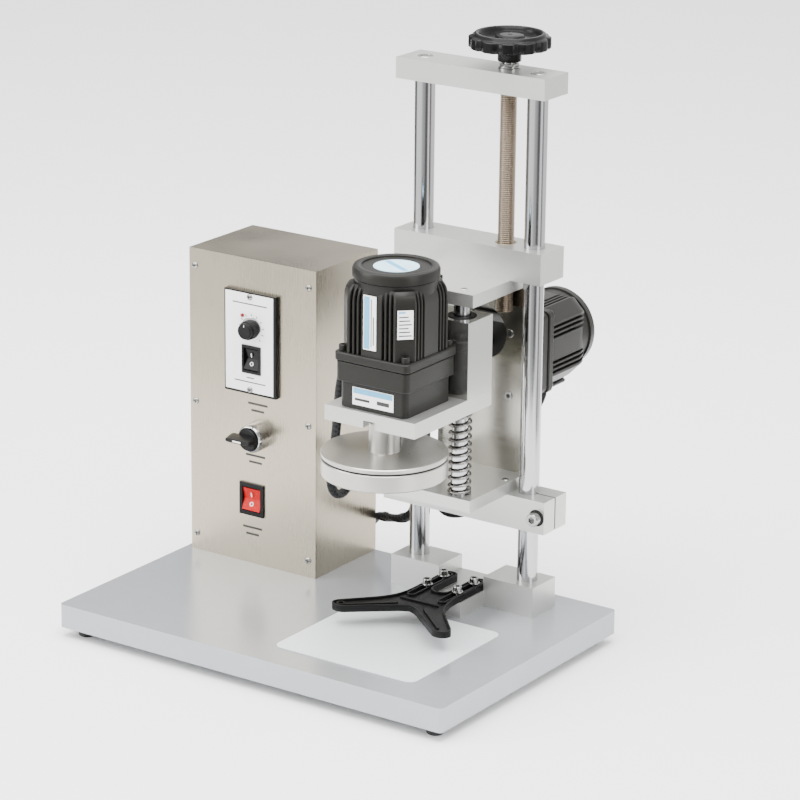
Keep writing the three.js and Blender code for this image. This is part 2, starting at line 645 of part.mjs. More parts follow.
// A rocker lying across X, with its pivot at the origin and its two faces towards -Y.
function rocker(width, height, reach) {
  const half = height / 2;
  const outline = [[3, -half * 0.55], [3, half * 0.55], [-reach + 3.4, half], [-reach + 0.6, half],
    [-reach + 2.8, 0], [-reach - 1.2, -half], [-reach + 3.4, -half]];
  const geometry = new THREE.ExtrudeGeometry(
    new THREE.Shape(outline.map(([y, z]) => new THREE.Vector2(y, z))),
    { depth: width, bevelEnabled: false },
  );
  geometry.translate(0, 0, -width / 2);
  geometry.applyMatrix4(new THREE.Matrix4().makeBasis(
    new THREE.Vector3(0, 1, 0),
    new THREE.Vector3(0, 0, 1),
    new THREE.Vector3(1, 0, 0),
  ));
  return solid(geometry);
}
const speedRocker = rocker(17, 20.5, 4.5).translate([KNOB_X, UNIT_FRONT + 4, RATE_SWITCH_Z]);
place("speed_rocker", speedRocker, PLASTIC_BLACK);

const powerFront = BOX_FRONT - 2;
const powerSwitch = block(POWER_X - 14.8, POWER_X + 14.8, powerFront, BOX_FRONT, POWER_Z - 17, POWER_Z + 17)
  .add(block(POWER_X - 13.2, POWER_X + 13.2, BOX_FRONT - 1, BOX_FRONT + 24, POWER_Z - 14.2, POWER_Z + 14.2))
  .subtract(block(POWER_X - 11.2, POWER_X + 11.2, powerFront - 1, powerFront + 10,
    POWER_Z - 12.6, POWER_Z + 12.6));
place("power_switch", powerSwitch, PLASTIC_BLACK);
place("power_rocker", rocker(21.6, 22.6, 4.8).translate([POWER_X, powerFront + 5, POWER_Z]), RED);

const selectorBezel = turned(
  [[11.8, 6], [6, 6], [6, -22], [11, -22], [11, 0], [14.6, 0], [14.6, 12], [13.6, 15.5], [11.8, 15.5],
    [11.8, 6]],
  0,
  0,
)
  .rotate([90, 0, 0])
  .translate([SELECTOR_X, BOX_FRONT, SELECTOR_Z]);
place("selector_bezel", selectorBezel, CHROME);

const leverOutline = [[-20, -3.2], [-17, -4.6], [9, -4.6], [11, 0], [9, 4.6], [-17, 4.6], [-20, 3.2]];
const selector = turned([[0, 6.4], [11.4, 6.4], [11.4, 17.5], [10.4, 18.5], [0, 18.5]], 0, 0)
  .add(prism(leverOutline, 17, 29))
  .add(upright(0, 0, 5.6, -18, 7, 16))
  .rotate([90, 0, 0])
  .translate([SELECTOR_X, BOX_FRONT, SELECTOR_Z]);
place("selector_handle", selector, PLASTIC_BLACK);

const gland = turned(
  [[5.7, -4], [5.7, 0], [9.5, 0], [9.5, 5], [8, 9], [5.4, 10], [5.4, 3], [4, 3], [4, -4], [5.7, -4]],
  0,
  0,
)
  .rotate([-90, 0, 0])
  .translate([GLAND_X, BOX_BACK, GLAND_Z]);
place("cable_gland", gland, PLASTIC_BLACK);

// The mains gland is closed with a blank.
const mainsGland = turned([[0, -4], [5.7, -4], [5.7, 0], [9.5, 0], [9.5, 5], [8, 9], [5.4, 10], [0, 9]], 0, 0)
  .rotate([-90, 0, 0])
  .translate([MAINS_X, BOX_BACK, GLAND_Z]);
place("mains_gland", mainsGland, PLASTIC_BLACK);

// ---- bottle locating fork and its screws ----
function forkOutline() {
  const half = new THREE.Path();
  half.moveTo(0, -4.5);
  half.quadraticCurveTo(5, -5.6, 12, -10.8);
  half.lineTo(51, -42.6);
  half.bezierCurveTo(58, -48, 74, -41, 65, -30.5);
  half.lineTo(44, -7.6);
  half.bezierCurveTo(30, 7, 25, 20, 25, 40);
  half.lineTo(25, 90);
  half.quadraticCurveTo(25, 97, 17, 97);
  half.quadraticCurveTo(9.3, 97, 9.3, 90);
  half.lineTo(9.3, 52);
  half.quadraticCurveTo(9.3, 42.8, 0, 42.8);
  const right = half.getPoints(5).map((point) => [point.x, point.y]);
  const left = right.slice(1, -1).reverse().map(([x, y]) => [-x, y]);
  return [...right, ...left].map(([x, y]) => [x + HEAD_X, y]);
}

const slotOutline = (side) => roundedOutline(FORK_SLOT_WIDTH, FORK_SLOT_LENGTH, FORK_SLOT_WIDTH / 2 - 0.1)
  .map(([x, y]) => [x + HEAD_X + side * FORK_SLOT_X, y + FORK_SLOT_Y]);
const fork = prism(forkOutline(), FORK_BOTTOM, FORK_TOP)
  .subtract(prism(slotOutline(-1), FORK_BOTTOM - 1, FORK_TOP + 1))
  .subtract(prism(slotOutline(1), FORK_BOTTOM - 1, FORK_TOP + 1));
place("locating_fork", fork, PLASTIC_BLACK);

[-1, 1].forEach((side) => {
  FORK_SCREW_YS.forEach((y, row) => {
    const x = HEAD_X + side * FORK_SLOT_X;
    const name = `fork_screw_${row === 0 ? "front" : "back"}_${side < 0 ? "left" : "right"}`;
    const screw = turned(
      [[0, LOCATOR_TOP - 11], [2.5, LOCATOR_TOP - 11], [2.5, FORK_TOP + FIT], [5.6, FORK_TOP + FIT],
        [5.6, FORK_TOP + 1.5], [4.3, FORK_TOP + 1.5], [4.3, FORK_TOP + 6.5], [2.2, FORK_TOP + 6.5],
        [2.2, FORK_TOP + 3.5], [0, FORK_TOP + 3.5]],
      x,
      y,
      16,
    );
    place(name, screw, STEEL);
  });
});

// ---- motor leads: their end stretches are straight ----
const clipBack = COLUMN_Y + LOWER_DEPTH / 2;
place("cable_clip", block(-3, 13, clipBack, clipBack + 11, 130, 146), PLASTIC_BLACK);

const frontLead = [
  [69.5, 12.6, 376], [64, 12.6, 376], [58, 12.6, 375], [47, 12.4, 368],
  [34, 11, 354], [20, 7, 328], [8, 3, 297], [1, 1, 262],
  [-2, 0, 225], [-5, -1, 192], [-8, -1, 170], [-9, 1, 157],
  [-9.5, 9, 147], [-10, 20, 143.8], [-10.5, 31, 148], [-12, 42, 158],
  [-14, 54, 168.5], [-16, 70, 174.5], [-17, 88, 169], [-17.5, 104, 159],
  [-17, 116, 150], [-14, 127, 143], [-9, 130.6, 140], [-6, 130.6, 140],
  [-3.5, 130.6, 140],
];
place("front_motor_lead", cord(frontLead, LEAD_RADIUS, 34), RUBBER);

const rearLead = [
  [13.5, 130.6, 138], [16.5, 130.6, 138], [20.5, 131.5, 132], [23, 136, 114],
  [30, 143, 98], [44, 152, 97], [58, 164, 112], [70, 180, 148],
  [80, 198, 186], [86.5, 221, 201], [88, 227, 211], [88, 227, 217],
  [88, 227, 222.6],
];
place("rear_motor_lead", cord(rearLead, LEAD_RADIUS, 20), RUBBER);

// The slack behind the box lets the carriage rise to the top of its travel.
const twinLead = [
  [4, 130.6, 129.5], [4, 130.6, 126], [3.2, 130.7, 116], [0.5, 131.2, 104],
  [-4, 132.4, 93.5], [-12, 135, 85.5], [-23, 140, 80.5], [-36, 146, 76],
  [-50, 153, 72.5], [-63, 159.5, 68.5], [-73, 164, 61], [-79, 166.5, 49],
  [-82, 169, 36], [-89, 177, 26], [-99, 188, 25], [-106, 196, 33],
  [-107, 198, 45], [-103, 195, 57], [-97, 188, 65], [-92, 179, 69.2],
  [-90, 172, 70], [-90, 166.5, 70], [-90, 163.4, 70],
];
place("twin_lead", cord(twinLead, TWIN_LEAD_RADIUS, 34), RUBBER);

export default machine;
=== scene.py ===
import math

import bmesh
import bpy
from mathutils import Matrix, Vector


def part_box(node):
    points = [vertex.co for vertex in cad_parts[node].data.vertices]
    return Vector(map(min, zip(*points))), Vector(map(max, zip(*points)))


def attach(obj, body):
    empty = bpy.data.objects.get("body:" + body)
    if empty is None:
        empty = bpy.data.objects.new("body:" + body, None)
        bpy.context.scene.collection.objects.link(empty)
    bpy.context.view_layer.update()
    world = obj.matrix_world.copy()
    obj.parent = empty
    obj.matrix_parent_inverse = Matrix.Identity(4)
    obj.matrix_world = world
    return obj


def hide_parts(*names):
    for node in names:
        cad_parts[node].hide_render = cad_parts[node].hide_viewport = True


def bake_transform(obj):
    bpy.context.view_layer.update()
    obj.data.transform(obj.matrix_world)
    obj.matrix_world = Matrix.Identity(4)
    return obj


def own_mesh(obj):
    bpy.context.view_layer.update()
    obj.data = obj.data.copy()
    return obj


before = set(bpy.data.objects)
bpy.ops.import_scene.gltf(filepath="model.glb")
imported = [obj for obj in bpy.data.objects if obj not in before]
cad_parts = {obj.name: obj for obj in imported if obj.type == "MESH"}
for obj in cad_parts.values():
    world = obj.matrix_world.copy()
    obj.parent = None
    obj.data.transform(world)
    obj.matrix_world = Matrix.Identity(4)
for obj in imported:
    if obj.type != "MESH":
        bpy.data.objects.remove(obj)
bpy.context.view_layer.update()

# Shape builders below take millimetres and write metres. Cord routes are in metres.
MM = 0.001

# ---- camera ----
CAMERA_PLACE = (1.80932, -2.54336, 1.25249)
CAMERA_YAW = 34.3513
CAMERA_PITCH = 17.86
CAMERA_ROLL = 0.601
CAMERA_LENS = 153.905

camera_data = bpy.data.cameras.new("camera")
camera_data.lens = CAMERA_LENS
camera_data.sensor_width = 36
camera_data.clip_start = 0.1
camera_data.clip_end = 50
camera = bpy.data.objects.new("camera", camera_data)
bpy.context.collection.objects.link(camera)
camera.matrix_world = (
    Matrix.Translation(CAMERA_PLACE)
    @ Matrix.Rotation(math.radians(CAMERA_YAW), 4, "Z")
    @ Matrix.Rotation(math.radians(90 - CAMERA_PITCH), 4, "X")
    @ Matrix.Rotation(math.radians(CAMERA_ROLL), 4, "Z")
)
bpy.context.scene.camera = camera


# ---- materials ----
def start_material(name):
    material = bpy.data.materials.new(name)
    material.use_nodes = True
    nodes = material.node_tree.nodes
    links = material.node_tree.links
    shader = nodes["Principled BSDF"]
    coords = nodes.new("ShaderNodeTexCoord")
    return material, nodes, links, shader, coords


def stretched(nodes, links, source, scale):
    mapping = nodes.new("ShaderNodeMapping")
    mapping.inputs["Scale"].default_value = scale
    links.new(source, mapping.inputs["Vector"])
    return mapping.outputs["Vector"]


def noise(nodes, links, vector, scale, detail=4):
    texture = nodes.new("ShaderNodeTexNoise")
    texture.inputs["Scale"].default_value = scale
    texture.inputs["Detail"].default_value = detail
    links.new(vector, texture.inputs["Vector"])
    return texture.outputs["Fac"]


def remap(nodes, links, value, low, high):
    node = nodes.new("ShaderNodeMapRange")
    node.inputs["From Min"].default_value = 0.3
    node.inputs["From Max"].default_value = 0.7
    node.inputs["To Min"].default_value = low
    node.inputs["To Max"].default_value = high
    links.new(value, node.inputs["Value"])
    return node.outputs["Result"]


def blend_colours(nodes, links, value, dark, light):
    ramp = nodes.new("ShaderNodeValToRGB")
    ramp.color_ramp.elements[0].position = 0.3
    ramp.color_ramp.elements[0].color = (*dark, 1)
    ramp.color_ramp.elements[1].position = 0.7
    ramp.color_ramp.elements[1].color = (*light, 1)
    links.new(value, ramp.inputs["Fac"])
    return ramp.outputs["Color"]


def add_bump(nodes, links, shader, height, strength, distance):
    bump = nodes.new("ShaderNodeBump")
    bump.inputs["Strength"].default_value = strength
    bump.inputs["Distance"].default_value = distance
    links.new(height, bump.inputs["Height"])
    links.new(bump.outputs["Normal"], shader.inputs["Normal"])


def textured(name, colour, variation, rough, metallic, stretch, fine, bump, patch=14, gleam=0.5):
    """Colour and roughness vary in wide patches and in a fine grain that stretch turns into brushing."""
    material, nodes, links, shader, coords = start_material(name)
    place = coords.outputs["Object"]
    grain = noise(nodes, links, stretched(nodes, links, place, stretch), fine)
    patches = noise(nodes, links, place, patch, 2)
    both = nodes.new("ShaderNodeMath")
    both.operation = "MULTIPLY_ADD"
    both.inputs[1].default_value = 0.5
    links.new(grain, both.inputs[0])
    halved = nodes.new("ShaderNodeMath")
    halved.operation = "MULTIPLY"
    halved.inputs[1].default_value = 0.5
    links.new(patches, halved.inputs[0])
    links.new(halved.outputs[0], both.inputs[2])
    dark = [part * (1 - variation) for part in colour]
    light = [min(1, part * (1 + variation)) for part in colour]
    links.new(blend_colours(nodes, links, both.outputs[0], dark, light), shader.inputs["Base Color"])
    links.new(remap(nodes, links, both.outputs[0], rough[0], rough[1]), shader.inputs["Roughness"])
    shader.inputs["Metallic"].default_value = metallic
    shader.inputs["Specular IOR Level"].default_value = gleam
    add_bump(nodes, links, shader, grain, bump, 0.0002)
    return material


EVEN = (1, 1, 1)
UPRIGHT_BRUSH = (1, 1, 0.03)
LEVEL_BRUSH = (0.03, 1, 1)
PAINT = textured("silver_paint", (0.33, 0.345, 0.36), 0.03, (0.20, 0.27), 0.45, EVEN, 60, 0.02, 6)
STAINLESS = textured("brushed_stainless", (0.38, 0.34, 0.265), 0.06, (0.24, 0.34), 1,
                     UPRIGHT_BRUSH, 1400, 0.12)
PLATE_STEEL = textured("plate_steel", (0.33, 0.32, 0.28), 0.05, (0.16, 0.24), 1, LEVEL_BRUSH, 1100, 0.02)
ALUMINIUM = textured("satin_aluminium", (0.52, 0.52, 0.50), 0.025, (0.30, 0.38), 0.8, EVEN, 1500, 0.12)
TURNED = textured("turned_aluminium", (0.46, 0.45, 0.42), 0.03, (0.26, 0.34), 0.9, (1, 1, 8), 500, 0.05)
CHROME = textured("ground_rod", (0.44, 0.44, 0.45), 0.03, (0.10, 0.17), 1, (1, 1, 8), 300, 0.03)
THREAD = textured("thread_steel", (0.27, 0.22, 0.17), 0.16, (0.26, 0.42), 1, EVEN, 500, 0.10)
MILLED = textured("milled_aluminium", (0.50, 0.50, 0.48), 0.02, (0.12, 0.20), 0.95, EVEN, 900, 0.03)
STEEL = textured("bright_steel", (0.36, 0.36, 0.35), 0.08, (0.16, 0.30), 1, EVEN, 700, 0.06)
SPRING = textured("spring_wire", (0.26, 0.25, 0.24), 0.10, (0.16, 0.26), 1, EVEN, 600, 0.05)
TRIM = textured("chrome_trim", (0.46, 0.46, 0.47), 0.03, (0.08, 0.14), 1, EVEN, 400, 0.02)
BRASS = textured("brass", (0.40, 0.33, 0.20), 0.07, (0.22, 0.34), 1, (1, 1, 8), 500, 0.06)
ENAMEL = textured("motor_enamel", (0.010, 0.0095, 0.008), 0.14, (0.32, 0.42), 0, EVEN, 1300, 0.22, 14, 0.22)
PLASTIC = textured("black_plastic", (0.005, 0.005, 0.005), 0.25, (0.34, 0.46), 0, EVEN, 1600, 0.12, 14, 0.16)
GLOSS = textured("gloss_black", (0.004, 0.004, 0.004), 0.25, (0.18, 0.28), 0, EVEN, 500, 0.04, 14, 0.12)
RUBBER = textured("foot_rubber", (0.020, 0.020, 0.020), 0.2, (0.65, 0.8), 0, EVEN, 900, 0.30)
GUM = textured("gum_rubber", (0.50, 0.24, 0.13), 0.12, (0.55, 0.7), 0, EVEN, 700, 0.20)
MAT = textured("pale_mat", (0.62, 0.65, 0.66), 0.025, (0.30, 0.42), 0, EVEN, 800, 0.08)
WHITE = textured("white_print", (0.86, 0.87, 0.86), 0.03, (0.30, 0.42), 0, EVEN, 600, 0.03)
BLUE = textured("blue_print", (0.10, 0.38, 0.62), 0.08, (0.30, 0.42), 0, EVEN, 500, 0.03)
PALE_BLUE = textured("pale_blue_print", (0.50, 0.74, 0.86), 0.10, (0.25, 0.36), 0, EVEN, 80, 0.03)
INK = textured("grey_ink", (0.02, 0.018, 0.016), 0.25, (0.45, 0.6), 0, EVEN, 900, 0.02)
LAMP = textured("red_lamp", (0.22, 0.004, 0.008), 0.15, (0.12, 0.2), 0, EVEN, 600, 0.02)
RED = textured("red_rocker", (0.42, 0.004, 0.003), 0.10, (0.22, 0.30), 0, EVEN, 300, 0.02, 14, 0.15)
# Painted shade: a near-black colour laid in screw sockets, screw slots, round each clamp bolt and in the
# chuck groove, where shade falls.
PAINTED_SHADE = textured("painted_recess_shade", (0.008, 0.008, 0.008), 0.2, (0.6, 0.75), 0, EVEN, 900, 0.05)


def sleeve_material():
    """Two crossing sets of strands, laid along and round the cord by its own map."""
    material, nodes, links, shader, coords = start_material("braided_sleeve")
    heights = []
    for side in (-1, 1):
        turn = nodes.new("ShaderNodeMapping")
        turn.inputs["Rotation"].default_value = (0, 0, side * math.radians(38))
        links.new(coords.outputs["UV"], turn.inputs["Vector"])
        wave = nodes.new("ShaderNodeTexWave")
        wave.inputs["Scale"].default_value = 2.2
        links.new(turn.outputs["Vector"], wave.inputs["Vector"])
        heights.append(wave.outputs["Fac"])
    highest = nodes.new("ShaderNodeMath")
    highest.operation = "MAXIMUM"
    links.new(heights[0], highest.inputs[0])
    links.new(heights[1], highest.inputs[1])
    shade = blend_colours(nodes, links, highest.outputs[0], (0.003, 0.003, 0.0035), (0.016, 0.016, 0.017))
    links.new(shade, shader.inputs["Base Color"])
    links.new(remap(nodes, links, highest.outputs[0], 0.55, 0.38), shader.inputs["Roughness"])
    shader.inputs["Specular IOR Level"].default_value = 0.15
    add_bump(nodes, links, shader, highest.outputs[0], 0.5, 0.0004)
    return material


SLEEVE = sleeve_material()


# ---- shape builders ----
def place(name, shape, material, body, slot, bevel=0.0, angle=35):
    mesh = bpy.data.meshes.new(name)
    bmesh.ops.recalc_face_normals(shape, faces=shape.faces)
    shape.to_mesh(mesh)
    shape.free()
    mesh.transform(Matrix.Scale(MM, 4))
    mesh.materials.append(material)
    mesh.shade_smooth()
    mesh.set_sharp_from_angle(angle=math.radians(angle))
    piece = bpy.data.objects.new(name, mesh)
    bpy.context.collection.objects.link(piece)
    if bevel:
        add_bevel(piece, bevel)
    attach(piece, body)
    return piece


def add_bevel(piece, width, segments=2):
    bevel = piece.modifiers.new("edges", "BEVEL")
    bevel.width = width * MM
    bevel.segments = segments
    bevel.limit_method = "ANGLE"
    bevel.angle_limit = math.radians(35)


def loft(rings, move=None):
    """A closed body through rings of points; a ring of one point is a tip."""
    shape = bmesh.new()
    matrix = move or Matrix.Identity(4)
    rows = [[shape.verts.new(matrix @ Vector(point)) for point in ring] for ring in rings]
    for low, high in zip(rows, rows[1:]):
        count = max(len(low), len(high))
        for index in range(count):
            following = (index + 1) % count
            corners = [low[index % len(low)], low[following % len(low)]]
            corners += [high[following % len(high)], high[index % len(high)]]
            shape.faces.new(list(dict.fromkeys(corners)))
    for row in (rows[0], rows[-1]):
        if len(row) > 2:
            shape.faces.new(row)
    return shape


def lathe(profile, move=None, sides=72, lobes=None):
    """profile holds (radius, height) pairs, and (radius, height, "hex") for a six-sided ring."""
    rings = []
    for entry in profile:
        radius, height = entry[0], entry[1]
        if radius == 0:
            rings.append([(0, 0, height)])
            continue
        ring = []
        for side in range(sides):
            angle = 2 * math.pi * side / sides
            reach = radius
            if len(entry) == 3:
                reach = radius / math.cos((angle + math.pi / 6) % (math.pi / 3) - math.pi / 6)
            if lobes:
                reach = lobes(radius, angle)
            ring.append((reach * math.cos(angle), reach * math.sin(angle), height))
        rings.append(ring)
    return loft(rings, move)


def prism(outline, low, high, move=None):
    return loft([[(x, y, low) for x, y in outline], [(x, y, high) for x, y in outline]], move)


def block(low, high, move=None):
    outline = [(low[0], low[1]), (high[0], low[1]), (high[0], high[1]), (low[0], high[1])]
    return prism(outline, low[2], high[2], move)


def rounded(width, depth, radius, steps=6):
    points = []
    for side_x, side_y, start in ((1, -1, -90), (1, 1, 0), (-1, 1, 90), (-1, -1, 180)):
        for step in range(steps + 1):
            angle = math.radians(start + 90 * step / steps)
            x = side_x * (width / 2 - radius) + radius * math.cos(angle)
            y = side_y * (depth / 2 - radius) + radius * math.sin(angle)
            points.append((x, y))
    return points


def at(x, y, z):
    return Matrix.Translation((x, y, z))


FACE_FRONT = Matrix.Rotation(math.radians(90), 4, "X")
FACE_BACK = Matrix.Rotation(math.radians(-90), 4, "X")


def span(node):
    low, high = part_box(node)
    return [part / MM for part in low], [part / MM for part in high]


def middle(node):
    low, high = span(node)
    return [(a + b) / 2 for a, b in zip(low, high)]


# ---- cords ----
def smooth_route(points, per_span=8):
    """Centripetal Catmull-Rom curve through the points."""
    ends = [2 * points[0] - points[1], *points, 2 * points[-1] - points[-2]]
    route = []
    for a, b, c, d in zip(ends, ends[1:], ends[2:], ends[3:]):
        t1 = max((b - a).length, 1e-6) ** 0.5
        t2 = t1 + max((c - b).length, 1e-6) ** 0.5
        t3 = t2 + max((d - c).length, 1e-6) ** 0.5
        for step in range(per_span):
            t = t1 + (t2 - t1) * step / per_span
            p = (a * (t1 - t) + b * t) / t1
            q = (b * (t2 - t) + c * (t - t1)) / (t2 - t1)
            r = (c * (t3 - t) + d * (t - t2)) / (t3 - t2)
            first = (p * (t2 - t) + q * t) / t2
            second = (q * (t3 - t) + r * (t - t1)) / (t3 - t1)
            route.append((first * (t2 - t) + second * (t - t1)) / (t2 - t1))
    return [*route, points[-1]]


def tube(name, route, radius, material, sides=20, twist=0.0):
    """A tube in metres, mapped along and round. A twist, in metres per turn, winds two cords together."""
    shape = bmesh.new()
    layer = shape.loops.layers.uv.new("along")
    side_way = Vector((0, 0, 1)).cross(route[1] - route[0])
    if side_way.length < 1e-6:
        side_way = Vector((1, 0, 0))
    side_way.normalize()
    rows = []
    distances = [0.0]
    for here, following in zip(route, route[1:]):
        distances.append(distances[-1] + (following - here).length)
    for index, point in enumerate(route):
        ahead = route[min(index + 1, len(route) - 1)] - route[max(index - 1, 0)]
        ahead.normalize()
        side_way = (side_way - ahead * side_way.dot(ahead)).normalized()
        other_way = ahead.cross(side_way)
        row = []
        for side in range(sides):
            angle = 2 * math.pi * side / sides
            reach = radius
            if twist:
                reach = radius * max(0.78, abs(math.cos(angle - 2 * math.pi * distances[index] / twist)))
            outward = math.cos(angle) * side_way + math.sin(angle) * other_way
            row.append(shape.verts.new(point + reach * outward))
        rows.append(row)
    for index in range(len(rows) - 1):
        for side in range(sides):
            following = (side + 1) % sides
            near_row = rows[index]
            far_row = rows[index + 1]
            corners = (near_row[side], near_row[following], far_row[following], far_row[side])
            face = shape.faces.new(corners)
            lengths = (distances[index], distances[index], distances[index + 1], distances[index + 1])
            turns = (side, side + 1, side + 1, side)
            for loop, along, turn in zip(face.loops, lengths, turns):
                loop[layer].uv = (along / (2 * math.pi * radius), turn / sides)
    shape.faces.new(rows[0])
    shape.faces.new(rows[-1])
    bmesh.ops.recalc_face_normals(shape, faces=shape.faces)
    mesh = bpy.data.meshes.new(name)
    shape.to_mesh(mesh)
    shape.free()
    mesh.materials.append(material)
    mesh.shade_smooth()
    mesh.set_sharp_from_angle(angle=math.radians(40))
    piece = bpy.data.objects.new(name, mesh)
    bpy.context.collection.objects.link(piece)
    return piece, distances[-1]


FRONT_LEAD = (
    (0.0695, 0.0126, 0.376), (0.064, 0.0126, 0.376), (0.058, 0.0126, 0.375), (0.047, 0.0124, 0.368),
    (0.034, 0.011, 0.354), (0.020, 0.007, 0.328), (0.008, 0.003, 0.297), (0.001, 0.001, 0.262),
    (-0.002, 0, 0.225), (-0.005, -0.001, 0.192), (-0.008, -0.001, 0.170), (-0.009, 0.001, 0.157),
    (-0.0095, 0.009, 0.147), (-0.010, 0.020, 0.1438), (-0.0105, 0.031, 0.148), (-0.012, 0.042, 0.158),
    (-0.014, 0.054, 0.1685), (-0.016, 0.070, 0.1745), (-0.017, 0.088, 0.169), (-0.0175, 0.104, 0.159),
    (-0.017, 0.116, 0.150), (-0.014, 0.127, 0.143), (-0.009, 0.1306, 0.140), (-0.006, 0.1306, 0.140),
    (-0.0035, 0.1306, 0.140),
)
REAR_LEAD = (
    (0.0135, 0.1306, 0.138), (0.0165, 0.1306, 0.138), (0.0205, 0.1315, 0.132), (0.023, 0.136, 0.114),
    (0.030, 0.143, 0.098), (0.044, 0.152, 0.097), (0.058, 0.164, 0.112), (0.070, 0.180, 0.148),
    (0.080, 0.198, 0.186), (0.0865, 0.221, 0.201), (0.088, 0.227, 0.211), (0.088, 0.227, 0.217),
    (0.088, 0.227, 0.2226),
)
TWIN_LEAD = (
    (0.004, 0.1306, 0.1295), (0.004, 0.1306, 0.126), (0.0032, 0.1307, 0.116), (0.0005, 0.1312, 0.104),
    (-0.004, 0.1324, 0.0935), (-0.012, 0.135, 0.0855), (-0.023, 0.140, 0.0805), (-0.036, 0.146, 0.076),
    (-0.050, 0.153, 0.0725), (-0.063, 0.1595, 0.0685), (-0.073, 0.164, 0.061), (-0.079, 0.1665, 0.049),
    (-0.082, 0.169, 0.036), (-0.089, 0.177, 0.026), (-0.099, 0.188, 0.025), (-0.106, 0.196, 0.033),
    (-0.107, 0.198, 0.045), (-0.103, 0.195, 0.057), (-0.097, 0.188, 0.065), (-0.092, 0.179, 0.0692),
    (-0.090, 0.172, 0.070), (-0.090, 0.1665, 0.070), (-0.090, 0.1634, 0.070),
)


def make_cord(name, node, points, radius, sides=20, twist=0.0):
    route = smooth_route([Vector(point) for point in points])
    piece, length = tube(name, route, radius, SLEEVE, sides, twist)
    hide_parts(node)
    return piece


front_lead = make_cord("front_lead_sleeve", "front_motor_lead", FRONT_LEAD, 0.0045)
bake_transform(front_lead)
rear_lead = make_cord("rear_lead_sleeve", "rear_motor_lead", REAR_LEAD, 0.0045)
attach(rear_lead, "carriage")
twin_lead = make_cord("twin_lead_sleeve", "twin_lead", TWIN_LEAD, 0.0052, 36, 0.07)
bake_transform(twin_lead)


# ---- flat pieces that keep their CAD solid ----
def dress(node, material, bevel):
    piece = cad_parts[node]
    if not piece.material_slots:
        piece.data.materials.append(material)
    for slot in piece.material_slots:
        slot.material = material
    if bevel:
        add_bevel(piece, bevel)


for node in ("foot_block_left", "foot_block_right", "locator_block", "top_beam", "upper_crosshead",
             "lower_crosshead", "top_plate", "shelf_plate", "motor_plate"):
    dress(node, ALUMINIUM, 0.5)
dress("slide_block", MILLED, 0.5)
dress("base_pan", PAINT, 1.2)
dress("back_plate", PLATE_STEEL, 0.4)
dress("control_box", STAINLESS, 0.7)
dress("front_cover", STAINLESS, 0.5)
dress("speed_unit", PLASTIC, 0.6)
dress("power_switch", GLOSS, 0.5)
dress("cable_clip", PLASTIC, 0.8)
dress("press_ledge", STEEL, 0.4)
dress("crank", STEEL, 0.3)


# ---- screws ----
def socket_screw(name, move, body, radius=4.3, height=5.0, material=None, slot="bright_steel"):
    key = radius * 0.5
    profile = [(0, 0), (radius, 0), (radius, height - 0.5), (radius - 0.5, height),
               (key, height, "hex"), (key, height * 0.45, "hex"), (0, height * 0.45)]
    # The near-black disc at the bottom of the hex socket is painted shade.
    socket_shade = [(0, height * 0.45), (key * 0.98, height * 0.45), (key * 0.98, height * 0.5), (0, height * 0.5)]
    place(f"{name}_key", lathe(socket_shade, move, 24), PAINTED_SHADE, body, "black_plastic")
    return place(name, lathe(profile, move, 48), material or STEEL, body, slot)


def pan_screw(name, move, body, radius=3.4):
    dome = [(0, 0), (radius, 0), (radius, 0.5), (radius * 0.9, 1.1), (radius * 0.6, 1.6), (0, 1.8)]
    place(name, lathe(dome, move, 40), STEEL, body, "bright_steel")
    # The two crossing near-black bars on the dome are painted shade where the slot is.
    for index, (wide, long) in enumerate(((0.45, 2.1), (2.1, 0.45))):
        slot = block((-wide, -long, 1.2), (wide, long, 1.9), move)
        place(f"{name}_slot_{index + 1}", slot, PAINTED_SHADE, body, "black_plastic")


# ---- base ----
mat_low, mat_high = span("work_mat")
mat_x, mat_y, _ = middle("work_mat")
mat_outline = rounded(mat_high[0] - mat_low[0], mat_high[1] - mat_low[1], 9)
mat = place("work_mat_sheet", prism(mat_outline, mat_low[2], mat_high[2], at(mat_x, mat_y, 0)), MAT, "base",
            "mat_white", 0.2)
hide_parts("work_mat")

for node in ("foot_front_left", "foot_front_right", "foot_back_left", "foot_back_right"):
    low, high = span(node)
    x, y, _ = middle(node)
    wide = (high[0] - low[0]) / 2
    profile = [(0, 0), (7.2, 0), (8, 0.8), (wide, high[2] - 1),
               (wide - 0.4, high[2] - 0.1), (0, high[2] - 0.1)]
    foot = place(f"{node}_rubber", lathe(profile, at(x, y, 0), 48), RUBBER, "base", "rubber_black")
    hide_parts(node)

COLUMN_RADIUS = 10
for side in ("left", "right"):
    node = f"column_{side}"
    low, high = span(node)
    x, y, _ = middle(node)
    profile = [(0, low[2]), (COLUMN_RADIUS, low[2]), (COLUMN_RADIUS, high[2]), (0, high[2])]
    column = place(f"{node}_rod", lathe(profile, at(x, y, 0), 96), CHROME, "base", "ground_rod")
    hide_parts(node)
    beam_top = span("top_beam")[1][2]
    ring = [(0, 0), (7.5, 0), (7.2, 0.35), (5.4, 0.35), (5.2, -0.05), (4.6, 0.3), (3.1, 0.3, "hex"),
            (3.1, 0.05, "hex"), (0, 0.05)]
    place(f"beam_screw_{side}", lathe(ring, at(x, y, beam_top), 48), STEEL, "base", "bright_steel")

low, high = span("screw_bearing")
x, y, _ = middle("screw_bearing")
collar = [(6.4, low[2]), (10.4, low[2]), (10.4, low[2] + 1.4), (9.2, low[2] + 1.8), (9.2, low[2] + 3),
          (8.2, low[2] + 3.3, "hex"), (8.2, high[2] - 0.1, "hex"), (6.4, high[2]), (6.4, low[2])]
bearing = place("screw_bearing_collar", lathe(collar, at(x, y, 0), 64), STEEL, "base", "bright_steel")
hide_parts("screw_bearing")


# ---- lead screw and handwheel ----
THREAD_PITCH = 2
THREAD_DEPTH = 1.1
THREAD_IN_BEAM = 19


